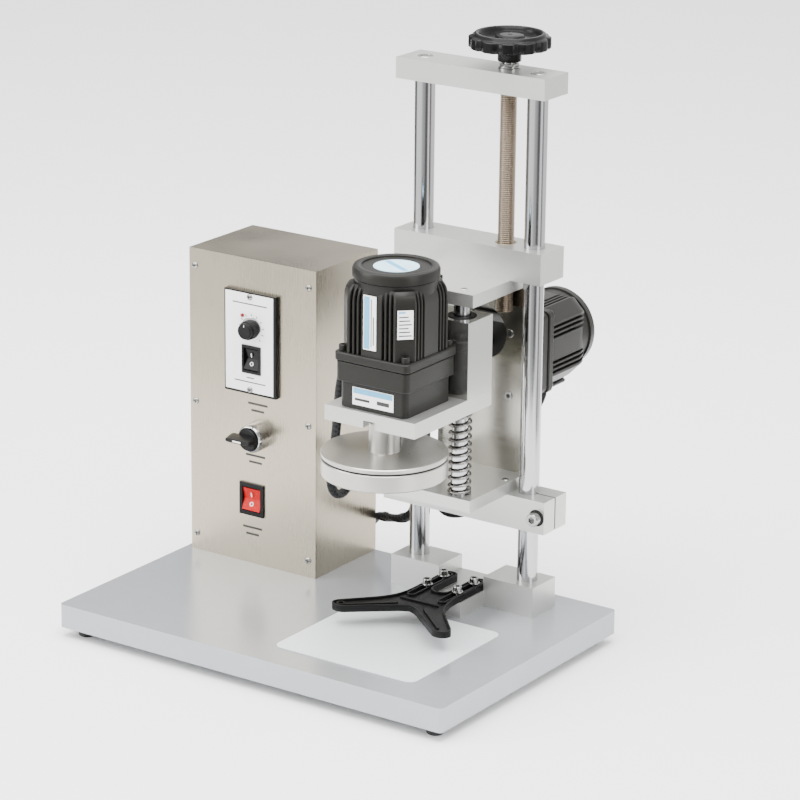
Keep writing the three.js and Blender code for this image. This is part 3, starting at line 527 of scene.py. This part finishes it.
def threaded(radius, depth, pitch, low, high, sides=24, rows=8):
    rings = [[(0, 0, low)]]
    count = int((high - low) / pitch * rows)
    for row in range(count + 1):
        height = low + (high - low) * row / count
        ring = []
        for side in range(sides):
            turn = side / sides
            wave = abs(2 * ((height / pitch - turn) % 1) - 1)
            reach = radius - depth * min(1, max(0, 2 * wave - 0.5))
            angle = 2 * math.pi * turn
            ring.append((reach * math.cos(angle), reach * math.sin(angle), height))
        rings.append(ring)
    rings.append([(0, 0, high)])
    return rings


screw_x, screw_y, _ = middle("lead_screw")
screw_low = span("lead_screw")[0][2]
beam_under = span("top_beam")[0][2]
thread_rings = threaded(8, THREAD_DEPTH, THREAD_PITCH, screw_low, beam_under + THREAD_IN_BEAM)
thread = loft(thread_rings, at(screw_x, screw_y, 0))
screw = place("lead_screw_thread", thread, THREAD, "screw", "screw_steel", angle=60)
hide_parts("lead_screw")
neck_low = beam_under + THREAD_IN_BEAM
neck_high = span("handwheel")[1][2] - 9
neck = [(0, neck_low), (6, neck_low), (6, neck_high), (0, neck_high)]
place("lead_screw_neck", lathe(neck, at(screw_x, screw_y, 0), 48), STEEL, "screw", "bright_steel")

WHEEL_GRIPS = 12
WHEEL_RIM = (span("handwheel")[1][0] - span("handwheel")[0][0]) / 2 - 0.1


def wheel_lobes(radius, angle):
    if radius < WHEEL_RIM - 1.5:
        return radius
    notch = (0.5 - 0.5 * math.cos(WHEEL_GRIPS * angle)) ** 3
    return radius - 2.4 * notch


wheel_low, wheel_high = span("handwheel")
wheel_top = wheel_high[2]
skirt_low = wheel_top - 14
hub_low = wheel_low[2]
wheel_profile = [(0, skirt_low + 6), (6.3, skirt_low + 6), (6.3, hub_low), (10.8, hub_low),
                 (11.3, hub_low + 0.6), (11.3, skirt_low + 3.5), (28, skirt_low + 3.5),
                 (31, skirt_low + 0.6), (WHEEL_RIM - 1, skirt_low), (WHEEL_RIM, skirt_low + 0.8),
                 (WHEEL_RIM, wheel_top - 4.4), (WHEEL_RIM - 1, wheel_top - 3.6), (35, wheel_top - 3),
                 (34, wheel_top - 2.2), (33.4, wheel_top - 0.5), (32.6, wheel_top), (30.4, wheel_top),
                 (29.4, wheel_top - 0.6), (28.6, wheel_top - 3), (27.5, wheel_top - 4.6),
                 (19, wheel_top - 5.2), (14, wheel_top - 4.4), (13.2, wheel_top - 2.6),
                 (12.6, wheel_top - 2.2), (8, wheel_top - 2), (2.2, wheel_top - 1.9),
                 (1.6, wheel_top - 2.6), (0, wheel_top - 2.6)]
wheel = place("handwheel_grip", lathe(wheel_profile, at(screw_x, screw_y, 0), 240, wheel_lobes), GLOSS,
              "screw", "gloss_black", angle=50)
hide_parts("handwheel")

nut_low, nut_high = span("lead_nut")
nut_profile = [(8.3, nut_low[2]), (10, nut_low[2]), (10, nut_high[2] - 0.4), (9.6, nut_high[2]),
               (9, nut_high[2]), (8.3, nut_high[2] - 0.6), (8.3, nut_low[2])]
nut = place("lead_nut_brass", lathe(nut_profile, at(screw_x, screw_y, 0), 64), BRASS, "carriage", "brass")
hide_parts("lead_nut")


# ---- carriage: rods, springs, bolts, screws ----
def spring_route(x, y, low, high, turns, radius, wire):
    steps = 28
    count = int(turns * steps)
    rise = 2 * wire + 0.2
    route = []
    for step in range(count + 1):
        angle = 2 * math.pi * step / steps
        share = min(1, max(0, (step - steps) / (count - 2 * steps)))
        lift = (min(step, steps) + max(0, step - count + steps)) / steps
        height = low + wire + lift * rise + share * (high - low - 2 * wire - 2 * rise)
        route.append(Vector((x + radius * math.cos(angle), y + radius * math.sin(angle), height)) * MM)
    return route


GUIDE_RADIUS = 8
SPRING_TURNS = 12.5
SPRING_RADIUS = 10.3
SPRING_WIRE_RADIUS = 1.25
for side in ("left", "right"):
    node = f"guide_rod_{side}"
    low, high = span(node)
    x, y, _ = middle(node)
    profile = [(0, low[2]), (GUIDE_RADIUS, low[2]), (GUIDE_RADIUS, high[2]), (0, high[2])]
    rod = place(f"{node}_ground", lathe(profile, at(x, y, 0), 80), CHROME, "carriage", "ground_rod")
    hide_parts(node)

    node = f"spring_{side}"
    low, high = span(node)
    route = spring_route(x, y, low[2], high[2], SPRING_TURNS, SPRING_RADIUS, SPRING_WIRE_RADIUS)
    spring, _ = tube(f"{node}_wire", route, SPRING_WIRE_RADIUS * MM, SPRING, 12)
    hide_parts(node)
    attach(spring, "carriage")
    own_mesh(spring)

    node = f"bushing_{side}"
    low, high = span(node)
    profile = [(8.2, low[2]), (14, low[2]), (14, high[2] - 0.3), (13.6, high[2]), (9, high[2]),
               (8.2, high[2] - 0.6), (8.2, low[2])]
    bushing = place(f"{node}_seal", lathe(profile, at(x, y, 0), 64), PLASTIC, "head", "black_plastic")
    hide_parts(node)

    node = f"clamp_bolt_{side}"
    low, high = span(node)
    x, _, z = middle(node)
    reach = high[1] - low[1]
    bolt = [(0, 0), (4, 0), (4, reach - 9), (6.5, reach - 9), (6.5, reach - 0.6), (5.9, reach),
            (3.2, reach, "hex"), (3.2, reach - 5, "hex"), (0, reach - 5)]
    bolt_shape = lathe(bolt, at(x, high[1], z) @ FACE_FRONT, 64)
    piece = place(f"{node}_head", bolt_shape, STEEL, "carriage", "bright_steel")
    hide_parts(node)

plate_front = span("back_plate")[0][1]
for side in ("left", "right"):
    x, _, z = middle(f"clamp_bolt_{side}")
    face = span("lower_crosshead")[0][1]
    # A thin near-black ring on the crosshead face round each clamp bolt is painted shade in the bore.
    bore_shade_profile = [(6.6, 0), (8.4, 0), (8.4, 0.12), (6.6, 0.12), (6.6, 0)]
    bore_shade_shape = lathe(bore_shade_profile, at(x, face, z) @ FACE_FRONT, 48)
    place(f"clamp_bore_shade_{side}", bore_shade_shape, PAINTED_SHADE, "carriage", "black_plastic")
PLATE_SCREW_HEIGHTS = (306, 243)
plate_mid = middle("back_plate")[0]
for row, height in enumerate(PLATE_SCREW_HEIGHTS):
    for side in (-1, 1):
        label = "left" if side < 0 else "right"
        move = at(plate_mid + side * 30.5, plate_front, height) @ FACE_FRONT
        socket_screw(f"plate_screw_{label}_{row + 1}", move, "carriage", 4.4, 1.2)
top_z = span("top_plate")[1][2]
shelf_z = span("shelf_plate")[1][2]
for side in (-1, 1):
    label = "left" if side < 0 else "right"
    socket_screw(f"top_screw_{label}", at(plate_mid + side * 30, 36, top_z - 0.2), "carriage", 3.6, 0.6)
    socket_screw(f"shelf_screw_{label}", at(plate_mid + side * 44, 92.5, shelf_z - 0.2), "carriage", 4, 0.8)


# ---- gear motors ----
GROOVES = (13, 18, 23)
GROOVE_HALF = 1.3
GROOVE_DEPTH = 6
MOTOR_HALF = 40
CORNER = 13
# Height, groove depth and size share: the fins run straight and then curve into the neck.
FIN_STAGES = ((53.5, 6, 1), (104, 6, 1), (109, 5, 0.99), (113.5, 3, 0.965), (117, 1.2, 0.93),
              (119.5, 0.4, 0.88))


def fin_outline(depth=GROOVE_DEPTH, shrink=1.0):
    points = []
    end = MOTOR_HALF - CORNER
    middles = [-x for x in reversed(GROOVES)] + list(GROOVES)
    for side in range(4):
        run = [(-end, -MOTOR_HALF)]
        for groove in middles:
            left = groove - GROOVE_HALF
            right = groove + GROOVE_HALF
            run.append((left - 0.5, -MOTOR_HALF))
            run.append((left, -MOTOR_HALF + 0.5))
            run.append((left, -MOTOR_HALF + depth))
            run.append((right, -MOTOR_HALF + depth))
            run.append((right, -MOTOR_HALF + 0.5))
            run.append((right + 0.5, -MOTOR_HALF))
        run.append((end, -MOTOR_HALF))
        turn = side * math.pi / 2
        for x, y in run:
            along = x * math.cos(turn) - y * math.sin(turn)
            across = x * math.sin(turn) + y * math.cos(turn)
            points.append((along * shrink, across * shrink))
    return points


def label(name, low, high, move, body, strip, bars):
    """A blank nameplate with a colour strip and plain grey bars where the print would be."""
    place(name, block(low, high, move), WHITE, body, "mat_white")
    wide = high[0] - low[0]
    tall = high[2] - low[2]
    front = low[1] - 0.1
    strip_low, strip_high = strip
    strip_block = block((low[0] + wide * strip_low[0], front, low[2] + tall * strip_low[1]),
                        (low[0] + wide * strip_high[0], low[1] + 0.1, low[2] + tall * strip_high[1]), move)
    place(f"{name}_strip", strip_block, BLUE, body, "mat_white")
    for index, (x0, z0, x1, z1) in enumerate(bars):
        bar_low = (low[0] + wide * x0, front, low[2] + tall * z0)
        bar_high = (low[0] + wide * x1, low[1] + 0.1, low[2] + tall * z1)
        bar = block(bar_low, bar_high, move)
        place(f"{name}_bar_{index + 1}", bar, INK, body, "black_plastic")


def gear_motor(name, move, body):
    def add(part, shape, bevel=0.0, material=ENAMEL, slot="motor_black"):
        return place(f"{name}_{part}", shape, material, body, slot, bevel)

    lower = add("gear_lower", prism(rounded(75, 75, 6), 0, 25.7, move), 0.8)
    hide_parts(f"{name}_gearbox")
    add("gear_upper", prism(rounded(81.5, 81.5, 6), 25.7, 44.6, move), 1.0)
    flange = add("flange", prism(rounded(84, 84, 6), 45.2, 53.7, move), 1.2)
    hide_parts(f"{name}_motor")
    rings = []
    for height, depth, shrink in FIN_STAGES:
        rings.append([(x, y, height) for x, y in fin_outline(depth, shrink)])
    add("fins", loft(rings, move))
    skirt = [(0, 100), (38.4, 100), (39.2, 117), (39.4, 123.2), (38.9, 123.7), (39, 124.2), (41, 124.6),
             (41, 131.4), (39.8, 133.6), (37.8, 134.4), (33.5, 134.4), (32.6, 133.8), (32.4, 132.6),
             (0, 132.6)]
    add("cap", lathe(skirt, move, 96))
    disc = [(0, 132.5), (21.5, 132.5), (21.5, 132.9), (0, 132.9)]
    add("cap_sticker", lathe(disc, move, 72), 0, PALE_BLUE, "mat_white")
    stripe = block((-19, -2.6, 132.8), (19, 2.6, 133.1), move @ Matrix.Rotation(math.radians(-28), 4, "Z"))
    add("cap_stripe", stripe, 0, BLUE, "mat_white")
    add("terminal_box", block((-17.6, 33, 86.4), (17.6, 47.2, 115.6), move), 1.5)
    add("terminal_lid", block((-18, 47.6, 86), (18, 51.4, 116), move), 1.2)
    for index, (side_x, side_y) in enumerate(((-1, -1), (1, -1), (1, 1), (-1, 1))):
        spot = move @ at(side_x * 35.2, side_y * 35.2, 53.6)
        socket_screw(f"{name}_bolt_{index + 1}", spot, body, 3.9, 6.2, ENAMEL, "motor_black")


front_gear = middle("front_gearbox")
FRONT_MOTOR = at(front_gear[0], front_gear[1], span("front_gearbox")[0][2])
gear_motor("front", FRONT_MOTOR, "head")
rear_gear = middle("rear_gearbox")
REAR_MOTOR = at(rear_gear[0], span("rear_gearbox")[0][1], rear_gear[2]) @ FACE_BACK
gear_motor("rear", REAR_MOTOR, "carriage")

label("front_face_label", (-8.6, -40.5, 61), (5.6, -39.8, 113), FRONT_MOTOR, "head",
      ((0.06, 0.02), (0.5, 0.98)), [(0.60, 0.06, 0.66, 0.94), (0.76, 0.10, 0.84, 0.62)])
corner_turn = FRONT_MOTOR @ Matrix.Rotation(math.radians(45), 4, "Z")
label("front_corner_label", (-7.4, -47.9, 76), (7.4, -47.2, 103.5), corner_turn, "head",
      ((0.08, 0.90), (0.5, 0.96)),
      [(0.1, 0.1 + 0.13 * row, 0.9 - 0.1 * (row % 3), 0.14 + 0.13 * row) for row in range(6)])
label("front_gear_label", (-22, -38.0, 4.5), (24, -37.3, 21.5), FRONT_MOTOR, "head",
      ((0.02, 0.66), (0.98, 0.97)), [(0.06, 0.26, 0.42, 0.40), (0.60, 0.24, 0.90, 0.46)])


# ---- turning head ----
chuck_x, chuck_y, _ = middle("cap_ring")
chuck = at(chuck_x, chuck_y, 0)
disc_profile = [(0, 221), (56, 221), (56, 222.6), (59.4, 222.6), (60, 223.1), (60, 226.2), (59.2, 227),
                (17.4, 227), (15.6, 227.5), (15.3, 228.6), (15.3, 262), (7, 262), (7, 282), (0, 282)]
disc = place("drive_disc_turned", lathe(disc_profile, chuck, 128), TURNED, "chuck", "turned_aluminium")
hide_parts("drive_disc")
# A near-black ring filling the gap under the drive disc, above the cap ring, is painted shade.
groove = [(30, 220.9), (58.4, 220.9), (58.4, 222.5), (30, 222.5), (30, 220.9)]
place("chuck_groove_shade", lathe(groove, chuck, 96), PAINTED_SHADE, "chuck", "rubber_black")
ring_profile = [(40, 204), (58.6, 204), (60, 205.2), (60, 220), (59.4, 220.8), (40, 220.8), (40, 204)]
ring = place("cap_ring_turned", lathe(ring_profile, chuck, 128), TURNED, "chuck", "turned_aluminium")
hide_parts("cap_ring")
cone = [(0, 214), (18, 214), (19, 213.4), (29.6, 204.6), (30.4, 204.3), (39.7, 204.3),
        (39.7, 220.6), (0, 220.6)]
pad = place("cap_rubber_cone", lathe(cone, chuck, 96), GUM, "chuck", "gum_rubber")
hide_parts("cap_rubber")


# ---- control box ----
cover_front = span("front_cover")[0][1]
COVER_SCREW_COLUMNS = (("left", -210.5), ("right", -70.8))
COVER_SCREW_HEIGHTS = (334.6, 193, 52)
for side, x in COVER_SCREW_COLUMNS:
    for row, z in enumerate(COVER_SCREW_HEIGHTS):
        pan_screw(f"cover_screw_{side}_{row + 1}", at(x, cover_front, z) @ FACE_FRONT, "base")

unit_low, unit_high = span("speed_unit")
unit_x = (unit_low[0] + unit_high[0]) / 2
SWITCH_PROUD = 1.6
face_front = unit_low[1] + SWITCH_PROUD
switch_x, _, switch_z = middle("speed_rocker")
SWITCH_HALF_WIDE = 11.5
SWITCH_HALF_TALL = 14.5
x_edges = (unit_low[0] + 1.5, switch_x - SWITCH_HALF_WIDE, switch_x + SWITCH_HALF_WIDE, unit_high[0] - 3)
z_edges = (unit_low[2] + 2.4, switch_z - SWITCH_HALF_TALL, switch_z + SWITCH_HALF_TALL, unit_high[2] - 1.5)
face_parts = (("below", x_edges[0], x_edges[3], z_edges[0], z_edges[1]),
              ("above", x_edges[0], x_edges[3], z_edges[2], z_edges[3]),
              ("left", x_edges[0], x_edges[1], z_edges[1], z_edges[2]),
              ("right", x_edges[2], x_edges[3], z_edges[1], z_edges[2]))
for part, x0, x1, z0, z1 in face_parts:
    sheet = block((x0, face_front - 0.3, z0), (x1, face_front + 0.2, z1))
    place(f"speed_unit_face_{part}", sheet, WHITE, "base", "mat_white")
for row, z in enumerate((unit_high[2] - 4.5, unit_low[2] + 4.7)):
    pan_screw(f"unit_screw_{row + 1}", at(unit_x, face_front - 0.3, z) @ FACE_FRONT, "base", 3.2)
knob_low, knob_high = span("speed_knob")
knob_x, _, knob_z = middle("speed_knob")
knob_face = at(knob_x, face_front - 0.3, knob_z) @ FACE_FRONT
skirt = [(3.4, 0), (12.2, 0), (12.2, 0.3), (11.4, 0.6), (3.4, 0.6), (3.4, 0)]
place("knob_dial", lathe(skirt, knob_face, 72), TRIM, "base", "chrome_trim")
for tick in range(11):
    angle = math.radians(225 - 27 * tick)
    move = knob_face @ Matrix.Rotation(angle, 4, "Z")
    mark = block((13.2, -0.35, 0), (15.6, 0.35, 0.15), move)
    place(f"dial_tick_{tick + 1}", mark, INK, "base", "black_plastic")
lamp = [(0, 0), (2, 0), (1.9, 1.1), (1.2, 1.8), (0, 2.1)]
LAMP_X = -148
LAMP_HEIGHT = 295
lamp_shape = lathe(lamp, at(LAMP_X, face_front - 0.3, LAMP_HEIGHT) @ FACE_FRONT, 40)
place("speed_lamp", lamp_shape, LAMP, "base", "red_plastic")
# Left end, right end and height of each bar.
UNIT_BARS = ((-160, -118, 307), (-143, -134, 231), (-158, -120, 226.5))
for index, (x0, x1, z) in enumerate(UNIT_BARS):
    bar = block((x0, face_front - 0.45, z), (x1, face_front - 0.2, z + 1.1))
    place(f"unit_bar_{index + 1}", bar, INK, "base", "black_plastic")


knob_radius = (knob_high[0] - knob_low[0]) / 2


def knurled(radius, angle):
    if radius < knob_radius - 0.4:
        return radius
    return radius - 0.35 * (0.5 + 0.5 * math.cos(36 * angle))


knob_profile = [(0, -8), (3, -8), (3, 0.6), (knob_radius - 0.3, 0.6), (knob_radius, 0.9),
                (knob_radius - 0.2, 8.6), (8.9, 9.2), (8.2, 9.6), (7.9, 12.4), (7.2, 13), (0, 12.6)]
knob_seat = at(knob_x, face_front, knob_z) @ FACE_FRONT
knob_shape = lathe(knob_profile, knob_seat, 216, knurled)
knob = place("speed_knob_grip", knob_shape, PLASTIC, "speed_knob", "black_plastic")
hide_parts("speed_knob")
pointer = block((-0.3, 4.6, 12.8), (0.3, 7, 13.1), knob_seat)
place("speed_knob_pointer", pointer, WHITE, "speed_knob", "mat_white")

dress("speed_rocker", GLOSS, 0.4)
dress("power_rocker", RED, 0.5)


def rocker_marks(name, node, body):
    """The usual line and ring, raised on the two faces of a rocker."""
    low, high = span(node)
    x = (low[0] + high[0]) / 2
    tall = high[2] - low[2]
    scale = tall / 22
    top = at(x, low[1] + 1.5 * scale, high[2] - 0.28 * tall) @ Matrix.Rotation(math.radians(101), 4, "X")
    line = block((-0.4 * scale, -2.2 * scale, -0.6), (0.4 * scale, 2.2 * scale, 0.35), top)
    place(f"{name}_line", line, WHITE, body, "mat_white")
    bottom = at(x, low[1] + 1.9 * scale, low[2] + 0.28 * tall) @ Matrix.Rotation(math.radians(70), 4, "X")
    inner = 1.5 * scale
    outside = 2.2 * scale
    ring = [(inner, -0.6), (outside, -0.6), (outside, 0.35), (inner, 0.35), (inner, -0.6)]
    place(f"{name}_ring", lathe(ring, bottom, 40), WHITE, body, "mat_white")


rocker_marks("speed_mark", "speed_rocker", "speed_rocker")
rocker_marks("power_mark", "power_rocker", "power_rocker")

selector_x, _, selector_z = middle("selector_bezel")
selector_face = at(selector_x, cover_front, selector_z) @ FACE_FRONT
bezel_profile = [(11.8, 6), (6, 6), (6, -22), (11, -22), (11, 0), (14.6, 0), (14.6, 11.2), (14.2, 13.4),
                 (13.2, 15.2), (12.4, 15.5), (11.8, 15), (11.8, 6)]
bezel = place("selector_bezel_ring", lathe(bezel_profile, selector_face, 96), TRIM, "base", "chrome_trim")
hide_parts("selector_bezel")
drum_profile = [(0, 6.4), (11.4, 6.4), (11.4, 17.6), (10.5, 18.5), (0, 18.5)]
drum_shape = lathe(drum_profile, selector_face, 72)
drum = place("selector_drum", drum_shape, PLASTIC, "selector", "black_plastic")
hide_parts("selector_handle")
lever = [(-20, -2.6), (-18.6, -4), (-16, -4.6), (8.4, -4.6), (10.4, -2.4), (11, 0), (10.4, 2.4),
         (8.4, 4.6), (-16, 4.6), (-18.6, 4), (-20, 2.6)]
ridge = [[(x, y, 17) for x, y in lever], [(x, y, 19.5) for x, y in lever],
         [(x * 0.97, y * 0.42, 28.4) for x, y in lever], [(x * 0.94, y * 0.3, 28.8) for x, y in lever]]
place("selector_lever", loft(ridge, selector_face), PLASTIC, "selector", "black_plastic", 0.6)
marker = block((-10, -0.8, 28.7), (0, 0.8, 29), selector_face)
place("selector_marker", marker, WHITE, "selector", "mat_white")

panel_marks = (("speed", -133, 202.5), ("cap", -136, 148), ("power", -140, 71))
for name, x, z in panel_marks:
    for index, (half, drop) in enumerate(((12, 0), (8, -7))):
        bar = block((x - half, cover_front - 0.15, z + drop), (x + half, cover_front + 0.05, z + drop + 2.2))
        place(f"panel_mark_{name}_{index + 1}", bar, INK, "base", "black_plastic")

for node, blank in (("cable_gland", False), ("mains_gland", True)):
    x, _, z = middle(node)
    face = at(x, span("control_box")[1][1], z) @ FACE_BACK
    profile = [(5.7, -4), (5.7, 0), (9.5, 0), (9.5, 4.4), (9, 5), (8, 9), (7, 9.8), (5.6, 10), (5.4, 3),
               (5.4, -4), (5.7, -4)]
    if blank:
        profile = [(0, -4), (5.7, -4), (5.7, 0), (9.5, 0), (9.5, 4.4), (9, 5), (8, 9), (7, 9.8),
                   (5.4, 10), (0, 9)]
    gland = place(f"{node}_cap", lathe(profile, face, 64), PLASTIC, "base", "black_plastic")
    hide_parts(node)


# ---- locating fork ----
FORK_RIM = 1.8
FORK_FLOOR = 54.8
fork_low, fork_high = span("locating_fork")
fork_x = middle("locating_fork")[0]


def curve(points, steps=10):
    """A quadratic or cubic curve through its control points, without its first point."""
    result = []
    for step in range(1, steps + 1):
        t = step / steps
        level = [Vector(point) for point in points]
        while len(level) > 1:
            level = [a.lerp(b, t) for a, b in zip(level, level[1:])]
        result.append(tuple(level[0]))
    return result


def fork_outline():
    half = [(0, -4.5)]
    half += curve(((0, -4.5), (5, -5.6), (12, -10.8)))
    half += [(31.5, -26.7), (51, -42.6)]
    half += curve(((51, -42.6), (58, -48), (74, -41), (65, -30.5)), 14)
    half += [(54.5, -19), (44, -7.6)]
    half += curve(((44, -7.6), (30, 7), (25, 20), (25, 40)), 14)
    half += [(25, 65), (25, 90)]
    half += curve(((25, 90), (25, 97), (17, 97)), 8)
    half += curve(((17, 97), (9.3, 97), (9.3, 90)), 8)
    half += [(9.3, 71), (9.3, 52)]
    half += curve(((9.3, 52), (9.3, 42.8), (0, 42.8)), 10)
    mirrored = [(-x, y) for x, y in reversed(half[1:-1])]
    return half + mirrored


def inset(outline, amount):
    """The same anticlockwise outline, moved inwards."""
    result = []
    for index, point in enumerate(outline):
        before = Vector(outline[index - 1])
        after = Vector(outline[(index + 1) % len(outline)])
        along = (after - before).normalized()
        result.append((point[0] - along.y * amount, point[1] + along.x * amount))
    return result


def slot_outline(x, wide, long, y=57):
    return [(x + px, y + py) for px, py in rounded(wide, long, wide / 2 - 0.01, 8)]


def plate(outlines, low, high, move=None):
    """A flat body with holes: the first outline is the edge, the others are the holes."""
    shape = bmesh.new()
    matrix = move or Matrix.Identity(4)
    edges = []
    for outline in outlines:
        ring = [shape.verts.new(matrix @ Vector((x, y, low))) for x, y in outline]
        edges += [shape.edges.new((ring[index - 1], ring[index])) for index in range(len(ring))]
    bmesh.ops.triangle_fill(shape, use_beauty=True, edges=edges)
    raised = bmesh.ops.extrude_face_region(shape, geom=list(shape.faces))
    lifted = [item for item in raised["geom"] if isinstance(item, bmesh.types.BMVert)]
    bmesh.ops.translate(shape, vec=(0, 0, high - low), verts=lifted)
    return shape


outer = fork_outline()
slots = [slot_outline(side * 17.8, 6.2, 70) for side in (-1, 1)]
fork_move = at(fork_x, 0, 0)
floor_shape = plate([outer, *slots], fork_low[2], FORK_FLOOR, fork_move)
fork = place("locating_fork_floor", floor_shape, PLASTIC, "fork", "black_plastic")
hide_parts("locating_fork")
rim_shape = plate([outer, inset(outer, FORK_RIM)], FORK_FLOOR, fork_high[2], fork_move)
place("locating_fork_rim", rim_shape, PLASTIC, "fork", "black_plastic", 0.4)
for side, hole in zip((-1, 1), slots):
    tag = "left" if side < 0 else "right"
    raised_edge = slot_outline(side * 17.8, 6.2 + 2 * FORK_RIM, 70 + 2 * FORK_RIM)
    edge_shape = plate([raised_edge, hole], FORK_FLOOR, fork_high[2] - 0.2, fork_move)
    place(f"fork_slot_rim_{tag}", edge_shape, PLASTIC, "fork", "black_plastic", 0.3)
    rib = fork_move @ at(side * 12, 0, 0) @ Matrix.Rotation(math.radians(-41 if side > 0 else -139), 4, "Z")
    place(f"fork_arm_rib_{tag}", block((4, -1, FORK_FLOOR), (56, 1, fork_high[2] - 0.4), rib), PLASTIC,
          "fork", "black_plastic", 0.3)
    if side > 0:
        continue
    eyelet = fork_move @ at(side * 58, -37, 0)
    ring_shape = [(2.6, FORK_FLOOR), (4.6, FORK_FLOOR), (4.6, fork_high[2]), (2.6, fork_high[2]),
                  (2.6, FORK_FLOOR)]
    place(f"fork_eyelet_{tag}", lathe(ring_shape, eyelet, 40), PLASTIC, "fork", "black_plastic")
middle_rib = block((-22, 11, FORK_FLOOR), (22, 13, fork_high[2] - 0.4), fork_move)
place("fork_middle_rib", middle_rib, PLASTIC, "fork", "black_plastic", 0.3)
for row in ("front", "back"):
    for side in ("left", "right"):
        node = f"fork_screw_{row}_{side}"
        x, y, _ = middle(node)
        low, high = span(node)
        washer = high[2] - 6.2
        profile = [(0, low[2]), (2.5, low[2]), (2.5, washer), (5.6, washer), (5.6, washer + 0.9),
                   (5.2, washer + 1.2), (4.3, washer + 1.2), (4.3, high[2] - 0.5), (3.9, high[2]),
                   (2.1, high[2], "hex"), (2.1, high[2] - 3, "hex"), (0, high[2] - 3)]
        screw_piece = place(f"{node}_cap", lathe(profile, at(x, y, 0), 48), STEEL, "base", "bright_steel")
        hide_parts(node)


# ---- floor and light ----
# The near sheet ends in front, so upright metal reflects the studio beyond it. The wide sheet
# just below it fills the view from every side, and is left out of reflections.
FLOOR_NEAR = -0.75
FLOOR_FAR = 9
FLOOR_NEAR_HALF = 0.65
FLOOR_FAR_HALF = 3
WIDE_HALF = 14
PAPER = textured("floor_paper", (0.93, 0.93, 0.93), 0.005, (0.8, 0.9), 0, EVEN, 60, 0.01)


def floor_sheet(name, corners, height):
    turn = Matrix.Rotation(math.radians(CAMERA_YAW), 4, "Z")
    shape = bmesh.new()
    shape.faces.new([shape.verts.new(turn @ Vector((x, y, height))) for x, y in corners])
    mesh = bpy.data.meshes.new(name)
    shape.to_mesh(mesh)
    shape.free()
    mesh.materials.append(PAPER)
    sheet = bpy.data.objects.new(name, mesh)
    bpy.context.collection.objects.link(sheet)
    return sheet


floor_sheet("floor_near", ((-FLOOR_NEAR_HALF, FLOOR_NEAR), (FLOOR_NEAR_HALF, FLOOR_NEAR),
                           (FLOOR_FAR_HALF, FLOOR_FAR), (-FLOOR_FAR_HALF, FLOOR_FAR)), 0)
wide_floor = floor_sheet("floor_wide", ((-WIDE_HALF, -WIDE_HALF), (WIDE_HALF, -WIDE_HALF),
                                        (WIDE_HALF, WIDE_HALF), (-WIDE_HALF, WIDE_HALF)), -0.0005)
wide_floor.visible_glossy = False


def soft_light(name, place_at, aim, size, power):
    data = bpy.data.lights.new(name, "AREA")
    data.shape = "RECTANGLE"
    data.size, data.size_y = size
    data.energy = power
    lamp_object = bpy.data.objects.new(name, data)
    bpy.context.collection.objects.link(lamp_object)
    lamp_object.location = place_at
    lamp_object.rotation_euler = (Vector(aim) - Vector(place_at)).to_track_quat("-Z", "Y").to_euler()


soft_light("light_above", (0.1, -0.3, 2.6), (0, 0, 0.2), (2.6, 2.6), 190)
soft_light("light_left", (-2.2, -1.9, 1.6), (0, 0, 0.3), (1.6, 2.0), 80)
soft_light("light_right", (2.6, -0.5, 1.3), (0, 0, 0.3), (1.0, 1.8), 26)

# Round the horizon the studio has dark and light stretches, which give bright metal its bands.
# Each entry is (share of the way round, brightness), starting straight away from the camera.
STUDIO_BANDS = ((0.0, 0.12), (0.20, 0.12), (0.25, 0.95), (0.39, 0.85), (0.43, 0.45), (0.50, 0.30),
                (0.53, 0.10), (0.58, 0.12), (0.61, 0.90), (0.65, 0.90), (0.67, 0.15), (0.69, 0.20),
                (0.73, 0.75), (0.97, 0.6))
CAMERA_SHARE = 0.652

world = bpy.data.worlds.new("studio")
bpy.context.scene.world = world
world.use_nodes = True
world_nodes = world.node_tree.nodes
world_links = world.node_tree.links
direction = world_nodes.new("ShaderNodeTexCoord").outputs["Generated"]
split = world_nodes.new("ShaderNodeSeparateXYZ")
world_links.new(direction, split.inputs[0])
bearing_angle = world_nodes.new("ShaderNodeMath")
bearing_angle.operation = "ARCTAN2"
world_links.new(split.outputs["Y"], bearing_angle.inputs[0])
world_links.new(split.outputs["X"], bearing_angle.inputs[1])
share = world_nodes.new("ShaderNodeMath")
share.operation = "MULTIPLY_ADD"
share.inputs[1].default_value = 1 / (2 * math.pi)
share.inputs[2].default_value = CAMERA_SHARE
world_links.new(bearing_angle.outputs[0], share.inputs[0])
wrapped = world_nodes.new("ShaderNodeMath")
wrapped.operation = "FRACT"
world_links.new(share.outputs[0], wrapped.inputs[0])
bands = world_nodes.new("ShaderNodeValToRGB")
while len(bands.color_ramp.elements) < len(STUDIO_BANDS):
    bands.color_ramp.elements.new(0.5)
for element, (position, level) in zip(bands.color_ramp.elements, STUDIO_BANDS):
    element.position = position
    element.color = (level, level, level, 1)
world_links.new(wrapped.outputs[0], bands.inputs["Fac"])
overhead = world_nodes.new("ShaderNodeMapRange")
overhead.inputs["From Min"].default_value = 0.30
overhead.inputs["From Max"].default_value = 0.65
world_links.new(split.outputs["Z"], overhead.inputs["Value"])
sky = world_nodes.new("ShaderNodeMix")
sky.data_type = "RGBA"
world_links.new(overhead.outputs[0], sky.inputs["Factor"])
world_links.new(bands.outputs["Color"], sky.inputs["A"])
sky.inputs["B"].default_value = (1, 1, 1, 1)
background = world_nodes["Background"]
world_links.new(sky.outputs["Result"], background.inputs["Color"])
background.inputs["Strength"].default_value = 2.3

bpy.context.view_layer.update()
